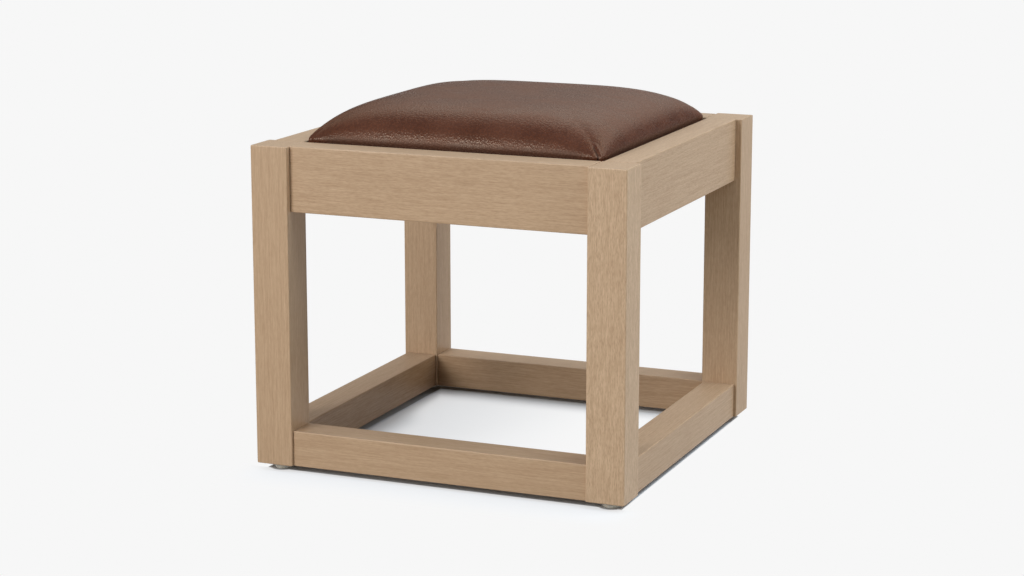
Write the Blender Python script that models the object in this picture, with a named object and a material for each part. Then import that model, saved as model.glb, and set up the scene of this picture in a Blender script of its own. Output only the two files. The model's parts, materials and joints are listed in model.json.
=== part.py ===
"""Cube ottoman: an open beech frame of legs, rails and stretchers with a drop-in leather seat.

Metres, +Z up, front towards -Y, origin on the floor under the middle of the seat.
"""

import math

import bmesh
import bpy
from mathutils import Matrix, Vector

# Frame
FRAME_WIDTH = 0.457
FRAME_DEPTH = 0.457
LEG_SECTION = 0.046
LEG_LENGTH = 0.376
EDGE_RADIUS = 0.0016

# Top rails: set back from the legs outside, with a small step inside
RAIL_HEIGHT = 0.076
RAIL_SETBACK = 0.0075
RAIL_INSIDE_STEP = 0.0016

# Floor stretchers, level with the legs' bottoms
STRETCHER_HEIGHT = 0.042
STRETCHER_SETBACK = 0.0037
STRETCHER_INSIDE_STEP = 0.0024

# Loose tenons: flat, with round edges, and outside the leg's middle so that two pass each other
TENON_THICKNESS = 0.010
TENON_SHIFT = 0.003
TENON_CHAMFER = 0.0012
TENON_IN_MEMBER = 0.021
TENON_WEB = 0.002
RAIL_TENON_WIDTH = 0.050
STRETCHER_TENON_WIDTH = 0.024
MORTISE_RELIEF = 0.0008

# Corner blocks, measured from the corner of the seat opening along the rails
BLOCK_ARM = 0.078
BLOCK_END = 0.014
BLOCK_HEIGHT = 0.030
BLOCK_CORNER_CUT = 0.010
BLOCK_SCREW_AT = 0.060
BLOCK_UNDER_HEAD = 0.012

# Wood screws of the corner blocks
SCREW_LENGTH = 0.035
SCREW_RADIUS = 0.0020
SCREW_TIP = 0.006
SCREW_HEAD_RADIUS = 0.0042
SCREW_HEAD_HEIGHT = 0.0028
SCREW_HEAD_TOP_RADIUS = 0.0029
SCREW_HEAD_EDGE = 0.0014
SCREW_DRIVE_RADIUS = 0.0017
SCREW_DRIVE_DEPTH = 0.0016
HEAD_POCKET_CLEARANCE = 0.0012

# Glides nailed under the legs
GLIDE_HEIGHT = 0.008
GLIDE_RADIUS = 0.0105
GLIDE_EDGE = 0.0014
GLIDE_HEAD_DEPTH = 0.0026
NAIL_LENGTH = 0.020
NAIL_RADIUS = 0.0014
NAIL_TIP = 0.003
NAIL_HEAD_RADIUS = 0.0036
NAIL_HEAD_HEIGHT = 0.0016

# Seat
SEAT_CLEARANCE = 0.0015
SEAT_SINK = 0.034
SEAT_CORNER_RADIUS = 0.016
SEAT_BOTTOM_EDGE = 0.002
CROWN_HEIGHT = 0.0444
CROWN_FLATNESS = 5.4
CROWN_SHOULDER = 0.553
LEATHER_THICKNESS = 0.0014
LEATHER_TURN_UNDER = 0.032
WRAP_THICKNESS = 0.008
BOARD_THICKNESS = 0.012
BREATHER_RADIUS = 0.009
BREATHER_OFFSET = 0.075
DUST_COVER_THICKNESS = 0.0006
DUST_COVER_MARGIN = 0.012

# Fits
JOINT_GAP = 0.0003
HOLE_RELIEF = 0.001

# Smoothness, as counts of straight pieces
EDGE_STEPS = 2
TENON_STEPS = 3
SCREW_STEPS = 10
DRIVE_SIDES = 6
HOLE_STEPS = 12
GLIDE_STEPS = 24
CORNER_STEPS = 4
SIDE_STEPS = 6
CROWN_RINGS = 9
SMOOTH_ANGLE = math.radians(35)
MERGE_DISTANCE = 1e-6

# Heights and lines that follow from the sizes above
LEG_TOP = GLIDE_HEIGHT + LEG_LENGTH
RAIL_THICKNESS = LEG_SECTION - RAIL_SETBACK - RAIL_INSIDE_STEP
STRETCHER_THICKNESS = LEG_SECTION - STRETCHER_SETBACK - STRETCHER_INSIDE_STEP
RAIL_MIDDLE = LEG_TOP - RAIL_HEIGHT / 2
STRETCHER_MIDDLE = GLIDE_HEIGHT + STRETCHER_HEIGHT / 2
OPENING_INSET = RAIL_SETBACK + RAIL_THICKNESS
TENON_LINE = LEG_SECTION / 2 - TENON_SHIFT
TENON_IN_LEG = LEG_SECTION - TENON_LINE - TENON_THICKNESS / 2 - TENON_WEB
SEAT_BOTTOM = LEG_TOP - SEAT_SINK
BLOCK_TOP = SEAT_BOTTOM - JOINT_GAP
BLOCK_MIDDLE = BLOCK_TOP - BLOCK_HEIGHT / 2
FLANGE_BOTTOM = SEAT_BOTTOM + DUST_COVER_THICKNESS + JOINT_GAP
FLANGE_TOP = FLANGE_BOTTOM + LEATHER_THICKNESS
BOARD_BOTTOM = FLANGE_TOP + JOINT_GAP
BOARD_TOP = BOARD_BOTTOM + BOARD_THICKNESS
FOAM_BOTTOM = BOARD_TOP + JOINT_GAP
SEAT_HALF_X = FRAME_WIDTH / 2 - OPENING_INSET - SEAT_CLEARANCE
SEAT_HALF_Y = FRAME_DEPTH / 2 - OPENING_INSET - SEAT_CLEARANCE
WRAP_INSET = LEATHER_THICKNESS + JOINT_GAP
CORE_INSET = WRAP_INSET + WRAP_THICKNESS + JOINT_GAP

# Turns of what is made along X or Z
TURN_NONE = Matrix.Identity(4)
TURN_X_TO_Y = Matrix.Rotation(math.radians(90), 4, "Z")
TURN_Z_TO_X = Matrix.Rotation(math.radians(90), 4, "Y")
TURN_Z_TO_Y = Matrix.Rotation(math.radians(-90), 4, "X")

# Each side turned about the middle: its angle, the corner at its left end and the one at its right
SIDES = {
    "front": (0, "left", "right"),
    "right": (90, "front", "back"),
    "back": (180, "right", "left"),
    "left": (270, "back", "front"),
}
# Each corner: its angle and the signs of its X and Y
CORNERS = {
    "front_left": (0, -1, -1),
    "front_right": (90, 1, -1),
    "back_right": (180, 1, 1),
    "back_left": (270, -1, 1),
}


def clear_scene():
    for item in list(bpy.data.objects):
        bpy.data.objects.remove(item, do_unlink=True)


def make_material(name, colour, roughness, metallic=0.0):
    """A Principled material of one colour."""
    material = bpy.data.materials.new(name)
    material.use_nodes = True
    shader = material.node_tree.nodes["Principled BSDF"]
    shader.inputs["Base Color"].default_value = (*colour, 1.0)
    shader.inputs["Roughness"].default_value = roughness
    shader.inputs["Metallic"].default_value = metallic
    return material


def make_materials():
    """One material for each kind of stuff in the object."""
    return {
        "beech": make_material("beech", (0.50, 0.34, 0.21), 0.45),
        "tenon_beech": make_material("tenon_beech", (0.56, 0.40, 0.26), 0.60),
        "block_wood": make_material("block_wood", (0.58, 0.43, 0.27), 0.65),
        "plywood": make_material("plywood", (0.60, 0.46, 0.30), 0.65),
        "leather": make_material("leather", (0.085, 0.036, 0.024), 0.45),
        "foam": make_material("foam", (0.78, 0.72, 0.52), 0.95),
        "wrap": make_material("wrap", (0.86, 0.86, 0.84), 0.95),
        "dust_cloth": make_material("dust_cloth", (0.02, 0.02, 0.022), 0.90),
        "nylon": make_material("nylon", (0.72, 0.72, 0.70), 0.40),
        "zinc_steel": make_material("zinc_steel", (0.62, 0.60, 0.54), 0.35, 1.0),
    }


def add_empty(name, location, degrees):
    """An empty that carries the pieces of one side or corner."""
    empty = bpy.data.objects.new(name, None)
    empty.location = location
    empty.rotation_euler = (0.0, 0.0, math.radians(degrees))
    bpy.context.scene.collection.objects.link(empty)
    return empty


def add_piece(name, mesh, material, parent=None, location=(0, 0, 0), rotation=(0, 0, 0)):
    """One named sub-part, shaded smooth up to the sharp edges."""
    mesh.shade_smooth()
    mesh.set_sharp_from_angle(angle=SMOOTH_ANGLE)
    if not mesh.materials:
        mesh.materials.append(material)
    piece = bpy.data.objects.new(name, mesh)
    piece.parent = parent
    piece.location = location
    piece.rotation_euler = rotation
    bpy.context.scene.collection.objects.link(piece)
    return piece


def mesh_from(bm, name):
    """A mesh with its faces turned outwards, from a bmesh that is then freed."""
    bmesh.ops.recalc_face_normals(bm, faces=bm.faces)
    mesh = bpy.data.meshes.new(name)
    bm.to_mesh(mesh)
    bm.free()
    return mesh


def rounded_rectangle(half_x, half_y, radius, corner_steps, side_steps=1):
    """Points round a rectangle with round corners, counter-clockwise, with extra points on its sides."""
    centres = [
        (half_x - radius, half_y - radius, 0),
        (radius - half_x, half_y - radius, 90),
        (radius - half_x, radius - half_y, 180),
        (half_x - radius, radius - half_y, 270),
    ]
    corners = []
    for x, y, start in centres:
        arc = []
        for step in range(corner_steps + 1):
            angle = math.radians(start + 90 * step / corner_steps)
            arc.append(Vector((x + radius * math.cos(angle), y + radius * math.sin(angle))))
        corners.append(arc)
    points = []
    for arc, following in zip(corners, corners[1:] + corners[:1]):
        points.extend(arc)
        for step in range(1, side_steps):
            points.append(arc[-1].lerp(following[0], step / side_steps))
    return points


def loft(rings, name, pole_start=None, pole_end=None):
    """A closed body through rings of equal count, ended by flat caps or by the points given.

    Every cell is split from its inner ring the same way round, so that nested layers keep their gap.
    """
    bm = bmesh.new()
    loops = [[bm.verts.new(point) for point in ring] for ring in rings]
    for pair in zip(loops, loops[1:]):
        near, far = sorted(pair, key=lambda loop: loop[0].co.xy.length)
        for a in range(len(near)):
            b = (a + 1) % len(near)
            bm.faces.new((near[a], near[b], far[b]))
            bm.faces.new((near[a], far[b], far[a]))
    for loop, pole in ((loops[0], pole_start), (loops[-1], pole_end)):
        if pole is None:
            bm.faces.new(loop)
            continue
        tip = bm.verts.new(pole)
        for a in range(len(loop)):
            bm.faces.new((loop[a], loop[(a + 1) % len(loop)], tip))
    return mesh_from(bm, name)


def flat_prism(outline, bottom, top, name):
    """An outline in X and Y raised from bottom to top."""
    return loft([[(x, y, z) for x, y in outline] for z in (bottom, top)], name)


def turned(profile, steps, name):
    """A body turned about Z from its profile of (radius, height) points, pole to pole."""
    bm = bmesh.new()
    verts = [bm.verts.new((radius, 0.0, height)) for radius, height in profile]
    edges = [bm.edges.new(pair) for pair in zip(verts, verts[1:])]
    bmesh.ops.spin(
        bm,
        geom=verts + edges,
        cent=(0, 0, 0),
        axis=(0, 0, 1),
        angle=math.tau,
        steps=steps,
        use_merge=True,
    )
    bmesh.ops.remove_doubles(bm, verts=bm.verts, dist=MERGE_DISTANCE)
    return mesh_from(bm, name)


def rod(radius, bottom, top, steps, name):
    """A plain round bar along Z, used for drilled holes."""
    return turned([(0, bottom), (radius, bottom), (radius, top), (0, top)], steps, name)


def placed(mesh, turn, offset):
    """The mesh turned, then moved."""
    mesh.transform(Matrix.Translation(offset) @ turn)
    return mesh


def carved(mesh, cutters):
    """The mesh with every cutter taken out of it."""
    scene = bpy.context.scene
    blank = bpy.data.objects.new("blank", mesh)
    scene.collection.objects.link(blank)
    tools = []
    for cutter in cutters:
        tool = bpy.data.objects.new("cutter", cutter)
        tool.hide_render = True
        tool.display_type = "WIRE"
        scene.collection.objects.link(tool)
        cut = blank.modifiers.new("cut", "BOOLEAN")
        cut.operation = "DIFFERENCE"
        cut.solver = "EXACT"
        cut.object = tool
        tools.append(tool)
    graph = bpy.context.evaluated_depsgraph_get()
    result = bpy.data.meshes.new_from_object(blank.evaluated_get(graph))
    result.name = mesh.name
    for item in [blank, *tools]:
        bpy.data.objects.remove(item, do_unlink=True)
    return result


def tenon_body(width, start, end, grow, chamfer, name):
    """A flat tenon along X with round edges, standing on edge, grown all round by a clearance."""
    half_width = width / 2 + grow
    half_thickness = TENON_THICKNESS / 2 + grow
    rings = []
    for x, inset in ((start, chamfer), (start + chamfer, 0), (end - chamfer, 0), (end, chamfer)):
        outline = rounded_rectangle(
            half_thickness - inset, half_width - inset, half_thickness - inset, TENON_STEPS
        )
        rings.append([(x, y, z) for y, z in outline])
    return loft(rings if chamfer else [rings[0], rings[-1]], name)


def mortise(width, start, end):
    """The slot that a tenon fits, with its clearance."""
    return tenon_body(width, start, end, JOINT_GAP, 0.0, "mortise")


def leg_mesh():
    """A leg with eased edges, mortised on its two inner faces and drilled for the glide's nail."""
    bm = bmesh.new()
    bmesh.ops.create_cube(bm, size=1.0)
    bmesh.ops.scale(bm, vec=(LEG_SECTION, LEG_SECTION, LEG_LENGTH), verts=bm.verts)
    middle = (LEG_SECTION / 2, LEG_SECTION / 2, GLIDE_HEIGHT + LEG_LENGTH / 2)
    bmesh.ops.translate(bm, vec=middle, verts=bm.verts)
    bmesh.ops.bevel(
        bm, geom=bm.edges[:], offset=EDGE_RADIUS, segments=EDGE_STEPS, profile=0.5, affect="EDGES"
    )
    blank = mesh_from(bm, "leg")
    inner_end = LEG_SECTION - TENON_IN_LEG - MORTISE_RELIEF
    outer_end = LEG_SECTION + TENON_IN_MEMBER
    cutters = []
    for width, height in (
        (RAIL_TENON_WIDTH, RAIL_MIDDLE),
        (STRETCHER_TENON_WIDTH, STRETCHER_MIDDLE),
    ):
        along_x = mortise(width, inner_end, outer_end)
        cutters.append(placed(along_x, TURN_NONE, (0, TENON_LINE, height)))
        along_y = mortise(width, inner_end, outer_end)
        cutters.append(placed(along_y, TURN_X_TO_Y, (TENON_LINE, 0, height)))
    nail_end = GLIDE_HEAD_DEPTH - NAIL_HEAD_HEIGHT + NAIL_LENGTH + HOLE_RELIEF
    pilot = rod(NAIL_RADIUS + JOINT_GAP, 0.0, nail_end, HOLE_STEPS, "nail pilot")
    cutters.append(placed(pilot, TURN_NONE, (LEG_SECTION / 2, LEG_SECTION / 2, 0)))
    return carved(blank, cutters)


def member_length(span):
    """The clear length of a rail or stretcher between two legs."""
    return span - 2 * LEG_SECTION - 2 * JOINT_GAP


def member_mesh(span, height, thickness, setback, tenon_width, screw_level=None):
    """A rail or stretcher about its own middle, mortised at both ends, with pilots for block screws."""
    half = member_length(span) / 2
    outline = rounded_rectangle(thickness / 2, height / 2, EDGE_RADIUS, EDGE_STEPS)
    blank = loft([[(x, y, z) for y, z in outline] for x in (-half, half)], "member")
    line = TENON_LINE - setback - thickness / 2
    shoulder = span / 2 - LEG_SECTION
    inner_end = shoulder - TENON_IN_MEMBER - MORTISE_RELIEF
    outer_end = shoulder + TENON_IN_LEG
    cutters = []
    for start, end in ((inner_end, outer_end), (-outer_end, -inner_end)):
        cutters.append(placed(mortise(tenon_width, start, end), TURN_NONE, (0, line, 0)))
    if screw_level is not None:
        screw_end = thickness / 2 - (SCREW_LENGTH - BLOCK_UNDER_HEAD) - HOLE_RELIEF
        screw_at = span / 2 - OPENING_INSET - BLOCK_SCREW_AT
        for x in (-screw_at, screw_at):
            pilot = rod(SCREW_RADIUS + JOINT_GAP, screw_end, thickness, HOLE_STEPS, "screw pilot")
            cutters.append(placed(pilot, TURN_Z_TO_Y, (x, 0, screw_level)))
    return carved(blank, cutters)


def block_mesh():
    """A corner block in its corner's frame, cut clear of the leg and pocketed for its two screws."""
    near = JOINT_GAP
    outline = [
        (BLOCK_CORNER_CUT, near),
        (BLOCK_ARM, near),
        (BLOCK_ARM, BLOCK_END),
        (BLOCK_END, BLOCK_ARM),
        (near, BLOCK_ARM),
        (near, BLOCK_CORNER_CUT),
    ]
    outline = [(x + OPENING_INSET, y + OPENING_INSET) for x, y in outline]
    blank = flat_prism(outline, BLOCK_TOP - BLOCK_HEIGHT, BLOCK_TOP, "corner block")
    cutters = []
    for turn, place in screw_places():
        hole = rod(SCREW_RADIUS + JOINT_GAP, -SCREW_LENGTH, SCREW_HEAD_HEIGHT, HOLE_STEPS, "screw hole")
        pocket_radius = SCREW_HEAD_RADIUS + HEAD_POCKET_CLEARANCE
        pocket = rod(pocket_radius, -JOINT_GAP, BLOCK_ARM, HOLE_STEPS, "head pocket")
        cutters.append(placed(hole, turn, place))
        cutters.append(placed(pocket, turn, place))
    return carved(blank, cutters)


def screw_places():
    """Where the two screws of a corner block sit under their heads, in the corner's frame."""
    along = OPENING_INSET + BLOCK_SCREW_AT
    depth = OPENING_INSET + BLOCK_UNDER_HEAD
    return [
        (TURN_Z_TO_Y, (along, depth, BLOCK_MIDDLE)),
        (TURN_Z_TO_X, (depth, along, BLOCK_MIDDLE)),
    ]


def screw_mesh():
    """A wood screw with its head up, under-head face at zero and a six-sided drive."""
    profile = [
        (0, -SCREW_LENGTH),
        (SCREW_RADIUS, SCREW_TIP - SCREW_LENGTH),
        (SCREW_RADIUS, 0),
        (SCREW_HEAD_RADIUS, 0),
        (SCREW_HEAD_RADIUS, SCREW_HEAD_EDGE),
        (SCREW_HEAD_TOP_RADIUS, SCREW_HEAD_HEIGHT),
        (0, SCREW_HEAD_HEIGHT),
    ]
    blank = turned(profile, SCREW_STEPS, "screw")
    drive_bottom = SCREW_HEAD_HEIGHT - SCREW_DRIVE_DEPTH
    drive_top = SCREW_HEAD_HEIGHT + HOLE_RELIEF
    drive = rod(SCREW_DRIVE_RADIUS, drive_bottom, drive_top, DRIVE_SIDES, "drive")
    return carved(blank, [drive])


def glide_mesh():
    """A round glide with a rounded floor edge, a nail hole and a pocket for the nail's head."""
    hole = NAIL_RADIUS + JOINT_GAP
    pocket = NAIL_HEAD_RADIUS + JOINT_GAP
    top = GLIDE_HEIGHT - JOINT_GAP
    profile = [(pocket, 0)]
    for step in range(EDGE_STEPS + 1):
        angle = math.radians(90 * step / EDGE_STEPS)
        radius = GLIDE_RADIUS - GLIDE_EDGE * (1 - math.sin(angle))
        profile.append((radius, GLIDE_EDGE * (1 - math.cos(angle))))
    profile += [(GLIDE_RADIUS, top), (hole, top), (hole, GLIDE_HEAD_DEPTH), (pocket, GLIDE_HEAD_DEPTH)]
    return turned(profile + profile[:1], GLIDE_STEPS, "glide")


def nail_mesh():
    """A nail with its head down and the top of its head at zero."""
    profile = [
        (0, -NAIL_HEAD_HEIGHT),
        (NAIL_HEAD_RADIUS, -NAIL_HEAD_HEIGHT),
        (NAIL_HEAD_RADIUS, 0),
        (NAIL_RADIUS, 0),
        (NAIL_RADIUS, NAIL_LENGTH - NAIL_HEAD_HEIGHT - NAIL_TIP),
        (0, NAIL_LENGTH - NAIL_HEAD_HEIGHT),
    ]
    return turned(profile, SCREW_STEPS, "nail")


def pad_ring(inset, height, share=1.0, crown=0.0):
    """A ring of a pad layer: the seat's outline set in, drawn towards the middle and raised by the crown.

    The crown falls off towards the edge as (1 - share ** flatness), and again towards the corners.
    """
    half_x = SEAT_HALF_X - inset
    half_y = SEAT_HALF_Y - inset
    radius = max(SEAT_CORNER_RADIUS - inset, JOINT_GAP)
    ring = []
    for x, y in rounded_rectangle(half_x, half_y, radius, CORNER_STEPS, SIDE_STEPS):
        across = share * min(abs(x) / half_x, abs(y) / half_y)
        fall = (1 - share**CROWN_FLATNESS) * (1 - across**CROWN_FLATNESS)
        ring.append((x * share, y * share, height + crown * fall**CROWN_SHOULDER))
    return ring


def crown_rings(inset):
    """The rings of a layer's crown, from near its middle to its edge at the rail tops, and its pole."""
    crown = CROWN_HEIGHT - inset
    shares = [math.sin(math.radians(90 * step / CROWN_RINGS)) for step in range(1, CROWN_RINGS + 1)]
    rings = [pad_ring(inset, LEG_TOP, share, crown) for share in shares]
    return rings, (0, 0, LEG_TOP + crown)


def cover_mesh():
    """The leather: a crowned skin down the sides, turned under the board and open below."""
    outer, outer_pole = crown_rings(0.0)
    inner, inner_pole = crown_rings(LEATHER_THICKNESS)
    side = [
        pad_ring(0.0, FLANGE_BOTTOM + SEAT_BOTTOM_EDGE),
        pad_ring(SEAT_BOTTOM_EDGE, FLANGE_BOTTOM),
        pad_ring(LEATHER_TURN_UNDER, FLANGE_BOTTOM),
        pad_ring(LEATHER_TURN_UNDER, FLANGE_TOP),
        pad_ring(LEATHER_THICKNESS + SEAT_BOTTOM_EDGE, FLANGE_TOP),
        pad_ring(LEATHER_THICKNESS, FLANGE_TOP + SEAT_BOTTOM_EDGE),
    ]
    return loft(outer + side + inner[::-1], "cover", outer_pole, inner_pole)


def wrap_mesh():
    """The soft wrap: a crowned skin over the foam and down past the board's edges."""
    outer, outer_pole = crown_rings(WRAP_INSET)
    inner, inner_pole = crown_rings(WRAP_INSET + WRAP_THICKNESS)
    rim = [
        pad_ring(WRAP_INSET, BOARD_BOTTOM + SEAT_BOTTOM_EDGE),
        pad_ring(WRAP_INSET + SEAT_BOTTOM_EDGE, BOARD_BOTTOM),
        pad_ring(WRAP_INSET + WRAP_THICKNESS, BOARD_BOTTOM),
    ]
    return loft(outer + rim + inner[::-1], "wrap", outer_pole, inner_pole)


def foam_mesh():
    """The foam core: a crowned block that stands on the board."""
    rings, pole = crown_rings(CORE_INSET)
    return loft(rings + [pad_ring(CORE_INSET, FOAM_BOTTOM)], "foam", pole)


def board_mesh():
    """The plywood board with breather holes."""
    radius = max(SEAT_CORNER_RADIUS - CORE_INSET, JOINT_GAP)
    outline = rounded_rectangle(
        SEAT_HALF_X - CORE_INSET, SEAT_HALF_Y - CORE_INSET, radius, CORNER_STEPS
    )
    blank = flat_prism(outline, BOARD_BOTTOM, BOARD_TOP, "board")
    cutters = []
    for x in (-BREATHER_OFFSET, BREATHER_OFFSET):
        for y in (-BREATHER_OFFSET, BREATHER_OFFSET):
            bottom = BOARD_BOTTOM - HOLE_RELIEF
            hole = rod(BREATHER_RADIUS, bottom, BOARD_TOP + HOLE_RELIEF, HOLE_STEPS, "breather")
            cutters.append(placed(hole, TURN_NONE, (x, y, 0)))
    return carved(blank, cutters)


def dust_cover_mesh():
    """The thin cloth that closes the seat's underside and laps over the turned leather."""
    radius = max(SEAT_CORNER_RADIUS - DUST_COVER_MARGIN, JOINT_GAP)
    outline = rounded_rectangle(
        SEAT_HALF_X - DUST_COVER_MARGIN, SEAT_HALF_Y - DUST_COVER_MARGIN, radius, CORNER_STEPS
    )
    return flat_prism(outline, SEAT_BOTTOM, SEAT_BOTTOM + DUST_COVER_THICKNESS, "dust cover")


def side_sizes(side):
    """The span between the legs' outer faces along a side, and the side's distance from the middle."""
    if side in ("front", "back"):
        return FRAME_WIDTH, FRAME_DEPTH / 2
    return FRAME_DEPTH, FRAME_WIDTH / 2


def build_side(side, materials):
    """A top rail, a floor stretcher and the loose tenons at their ends."""
    degrees, left_end, right_end = SIDES[side]
    span, reach = side_sizes(side)
    carrier = add_empty(f"side_{side}", (0, 0, 0), degrees)
    screw_level = BLOCK_MIDDLE - RAIL_MIDDLE
    rail = member_mesh(
        span, RAIL_HEIGHT, RAIL_THICKNESS, RAIL_SETBACK, RAIL_TENON_WIDTH, screw_level
    )
    rail_place = (0, RAIL_SETBACK + RAIL_THICKNESS / 2 - reach, RAIL_MIDDLE)
    add_piece(f"rail_{side}", rail, materials["beech"], carrier, rail_place)
    stretcher = member_mesh(
        span, STRETCHER_HEIGHT, STRETCHER_THICKNESS, STRETCHER_SETBACK, STRETCHER_TENON_WIDTH
    )
    stretcher_place = (0, STRETCHER_SETBACK + STRETCHER_THICKNESS / 2 - reach, STRETCHER_MIDDLE)
    add_piece(f"stretcher_{side}", stretcher, materials["beech"], carrier, stretcher_place)
    shoulder = span / 2 - LEG_SECTION
    for kind, width, height in (
        ("rail", RAIL_TENON_WIDTH, RAIL_MIDDLE),
        ("stretcher", STRETCHER_TENON_WIDTH, STRETCHER_MIDDLE),
    ):
        tenon = tenon_body(width, -TENON_IN_MEMBER, TENON_IN_LEG, 0.0, TENON_CHAMFER, "tenon")
        for end, x, turn in ((right_end, shoulder, 0), (left_end, -shoulder, math.pi)):
            place = (x, TENON_LINE - reach, height)
            name = f"tenon_{kind}_{side}_{end}"
            add_piece(name, tenon, materials["tenon_beech"], carrier, place, (0, 0, turn))


def build_corner(corner, meshes, materials):
    """A leg with its glide and nail, and the corner block with its screws."""
    degrees, sign_x, sign_y = CORNERS[corner]
    place = (sign_x * FRAME_WIDTH / 2, sign_y * FRAME_DEPTH / 2, 0)
    carrier = add_empty(f"corner_{corner}", place, degrees)
    add_piece(f"leg_{corner}", meshes["leg"], materials["beech"], carrier)
    foot = (LEG_SECTION / 2, LEG_SECTION / 2, 0)
    add_piece(f"glide_{corner}", meshes["glide"], materials["nylon"], carrier, foot)
    nail_place = (foot[0], foot[1], GLIDE_HEAD_DEPTH - JOINT_GAP)
    add_piece(f"glide_nail_{corner}", meshes["nail"], materials["zinc_steel"], carrier, nail_place)
    add_piece(f"corner_block_{corner}", meshes["block"], materials["block_wood"], carrier)
    for letter, (turn, screw_place) in zip("ab", screw_places()):
        name = f"block_screw_{corner}_{letter}"
        rotation = turn.to_euler()
        add_piece(name, meshes["screw"], materials["zinc_steel"], carrier, screw_place, rotation)


def build_seat(materials):
    """The loose seat, carried by one empty on its lifting axis."""
    carrier = add_empty("seat_lift_axis", (0, 0, 0), 0)
    layers = [
        ("seat_cover", cover_mesh(), "leather"),
        ("foam_wrap", wrap_mesh(), "wrap"),
        ("seat_foam", foam_mesh(), "foam"),
        ("seat_board", board_mesh(), "plywood"),
        ("dust_cover", dust_cover_mesh(), "dust_cloth"),
    ]
    for name, mesh, stuff in layers:
        add_piece(name, mesh, materials[stuff], carrier)


def main():
    clear_scene()
    materials = make_materials()
    for side in SIDES:
        build_side(side, materials)
    meshes = {
        "leg": leg_mesh(),
        "glide": glide_mesh(),
        "nail": nail_mesh(),
        "block": block_mesh(),
        "screw": screw_mesh(),
    }
    for corner in CORNERS:
        build_corner(corner, meshes, materials)
    build_seat(materials)


main()
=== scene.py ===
"""Dresses the cube ottoman: a beech cube frame with a drop-in leather seat.

Metres, +Z up, front towards -Y, origin on the floor under the middle of the seat.
"""

import json
import logging
import math
from dataclasses import dataclass, field
from enum import Enum
from typing import Any

import bpy
import numpy as np
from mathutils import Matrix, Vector

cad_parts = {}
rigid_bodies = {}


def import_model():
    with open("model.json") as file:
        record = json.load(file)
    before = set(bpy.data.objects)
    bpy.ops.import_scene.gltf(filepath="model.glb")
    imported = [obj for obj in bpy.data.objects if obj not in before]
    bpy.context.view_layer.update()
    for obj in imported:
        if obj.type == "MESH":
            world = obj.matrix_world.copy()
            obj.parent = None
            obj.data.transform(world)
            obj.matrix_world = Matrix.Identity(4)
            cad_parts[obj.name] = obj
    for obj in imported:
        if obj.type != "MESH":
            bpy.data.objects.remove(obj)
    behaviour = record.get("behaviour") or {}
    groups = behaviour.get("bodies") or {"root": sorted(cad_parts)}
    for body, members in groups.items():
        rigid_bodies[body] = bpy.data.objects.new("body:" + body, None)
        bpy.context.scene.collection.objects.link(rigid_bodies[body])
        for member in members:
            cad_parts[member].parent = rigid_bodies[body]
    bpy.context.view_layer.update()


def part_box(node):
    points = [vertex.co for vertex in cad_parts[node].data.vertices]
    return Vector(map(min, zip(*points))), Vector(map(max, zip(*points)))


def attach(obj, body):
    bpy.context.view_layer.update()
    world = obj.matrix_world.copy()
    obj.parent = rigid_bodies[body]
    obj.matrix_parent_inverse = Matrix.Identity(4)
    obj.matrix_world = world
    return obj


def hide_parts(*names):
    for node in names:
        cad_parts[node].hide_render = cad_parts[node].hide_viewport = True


Array = np.ndarray
Faces = list[list[int]]
Object = bpy.types.Object
Material = bpy.types.Material
Socket = bpy.types.NodeSocket
Pair = tuple[float, float]
Triple = tuple[float, float, float]
Colour = tuple[float, float, float, float]

LOG = logging.getLogger("ottoman")
FRAME_BODY = "frame"
SEAT_BODY = "seat"
CORNERS = ("front_left", "front_right", "back_right", "back_left")
SIDES = ("front", "right", "back", "left")
SHARP_ANGLE = 35.0
EASE_STEPS = 6
STUDIO_WHITE: Colour = (0.93, 0.93, 0.93, 1.0)


class Axis(Enum):
    """The way a piece's length runs. Its value is how far (along, a, b) is rolled to give (x, y, z)."""

    X = 0
    Y = 1
    Z = 2

    def place(self, local: Array) -> Array:
        """Turns (along, a, b) coordinates into (x, y, z)."""
        return np.roll(local, self.value, axis=-1)

    def local(self, placed: Array) -> Array:
        """Turns (x, y, z) coordinates into (along, a, b)."""
        return np.roll(placed, -self.value, axis=-1)


def axis_of(side: str) -> Axis:
    """Gives the way that the members on a side of the cube run."""
    return Axis.X if side in ("front", "back") else Axis.Y


class Foot(Enum):
    """How the lower end of a crowned form is finished."""

    OPEN = "open"
    FLAT = "flat"
    TURNED_UNDER = "turned under"


def linear(red: int, green: int, blue: int) -> Colour:
    """Gives the scene-linear colour of an sRGB colour.

    Args:
        red: Its red, from 0 to 255.
        green: Its green.
        blue: Its blue.

    Returns:
        The colour, with full alpha.
    """
    share = np.array([red, green, blue]) / 255
    curve = np.where(share <= 0.04045, share / 12.92, ((share + 0.055) / 1.055) ** 2.4)
    return (float(curve[0]), float(curve[1]), float(curve[2]), 1.0)


def smooth_step(low: float, high: float, value: Array) -> Array:
    """Rises from 0 at low to 1 at high with a level start and end."""
    share = np.clip((value - low) / (high - low), 0, 1)
    return share * share * (3 - 2 * share)


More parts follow.
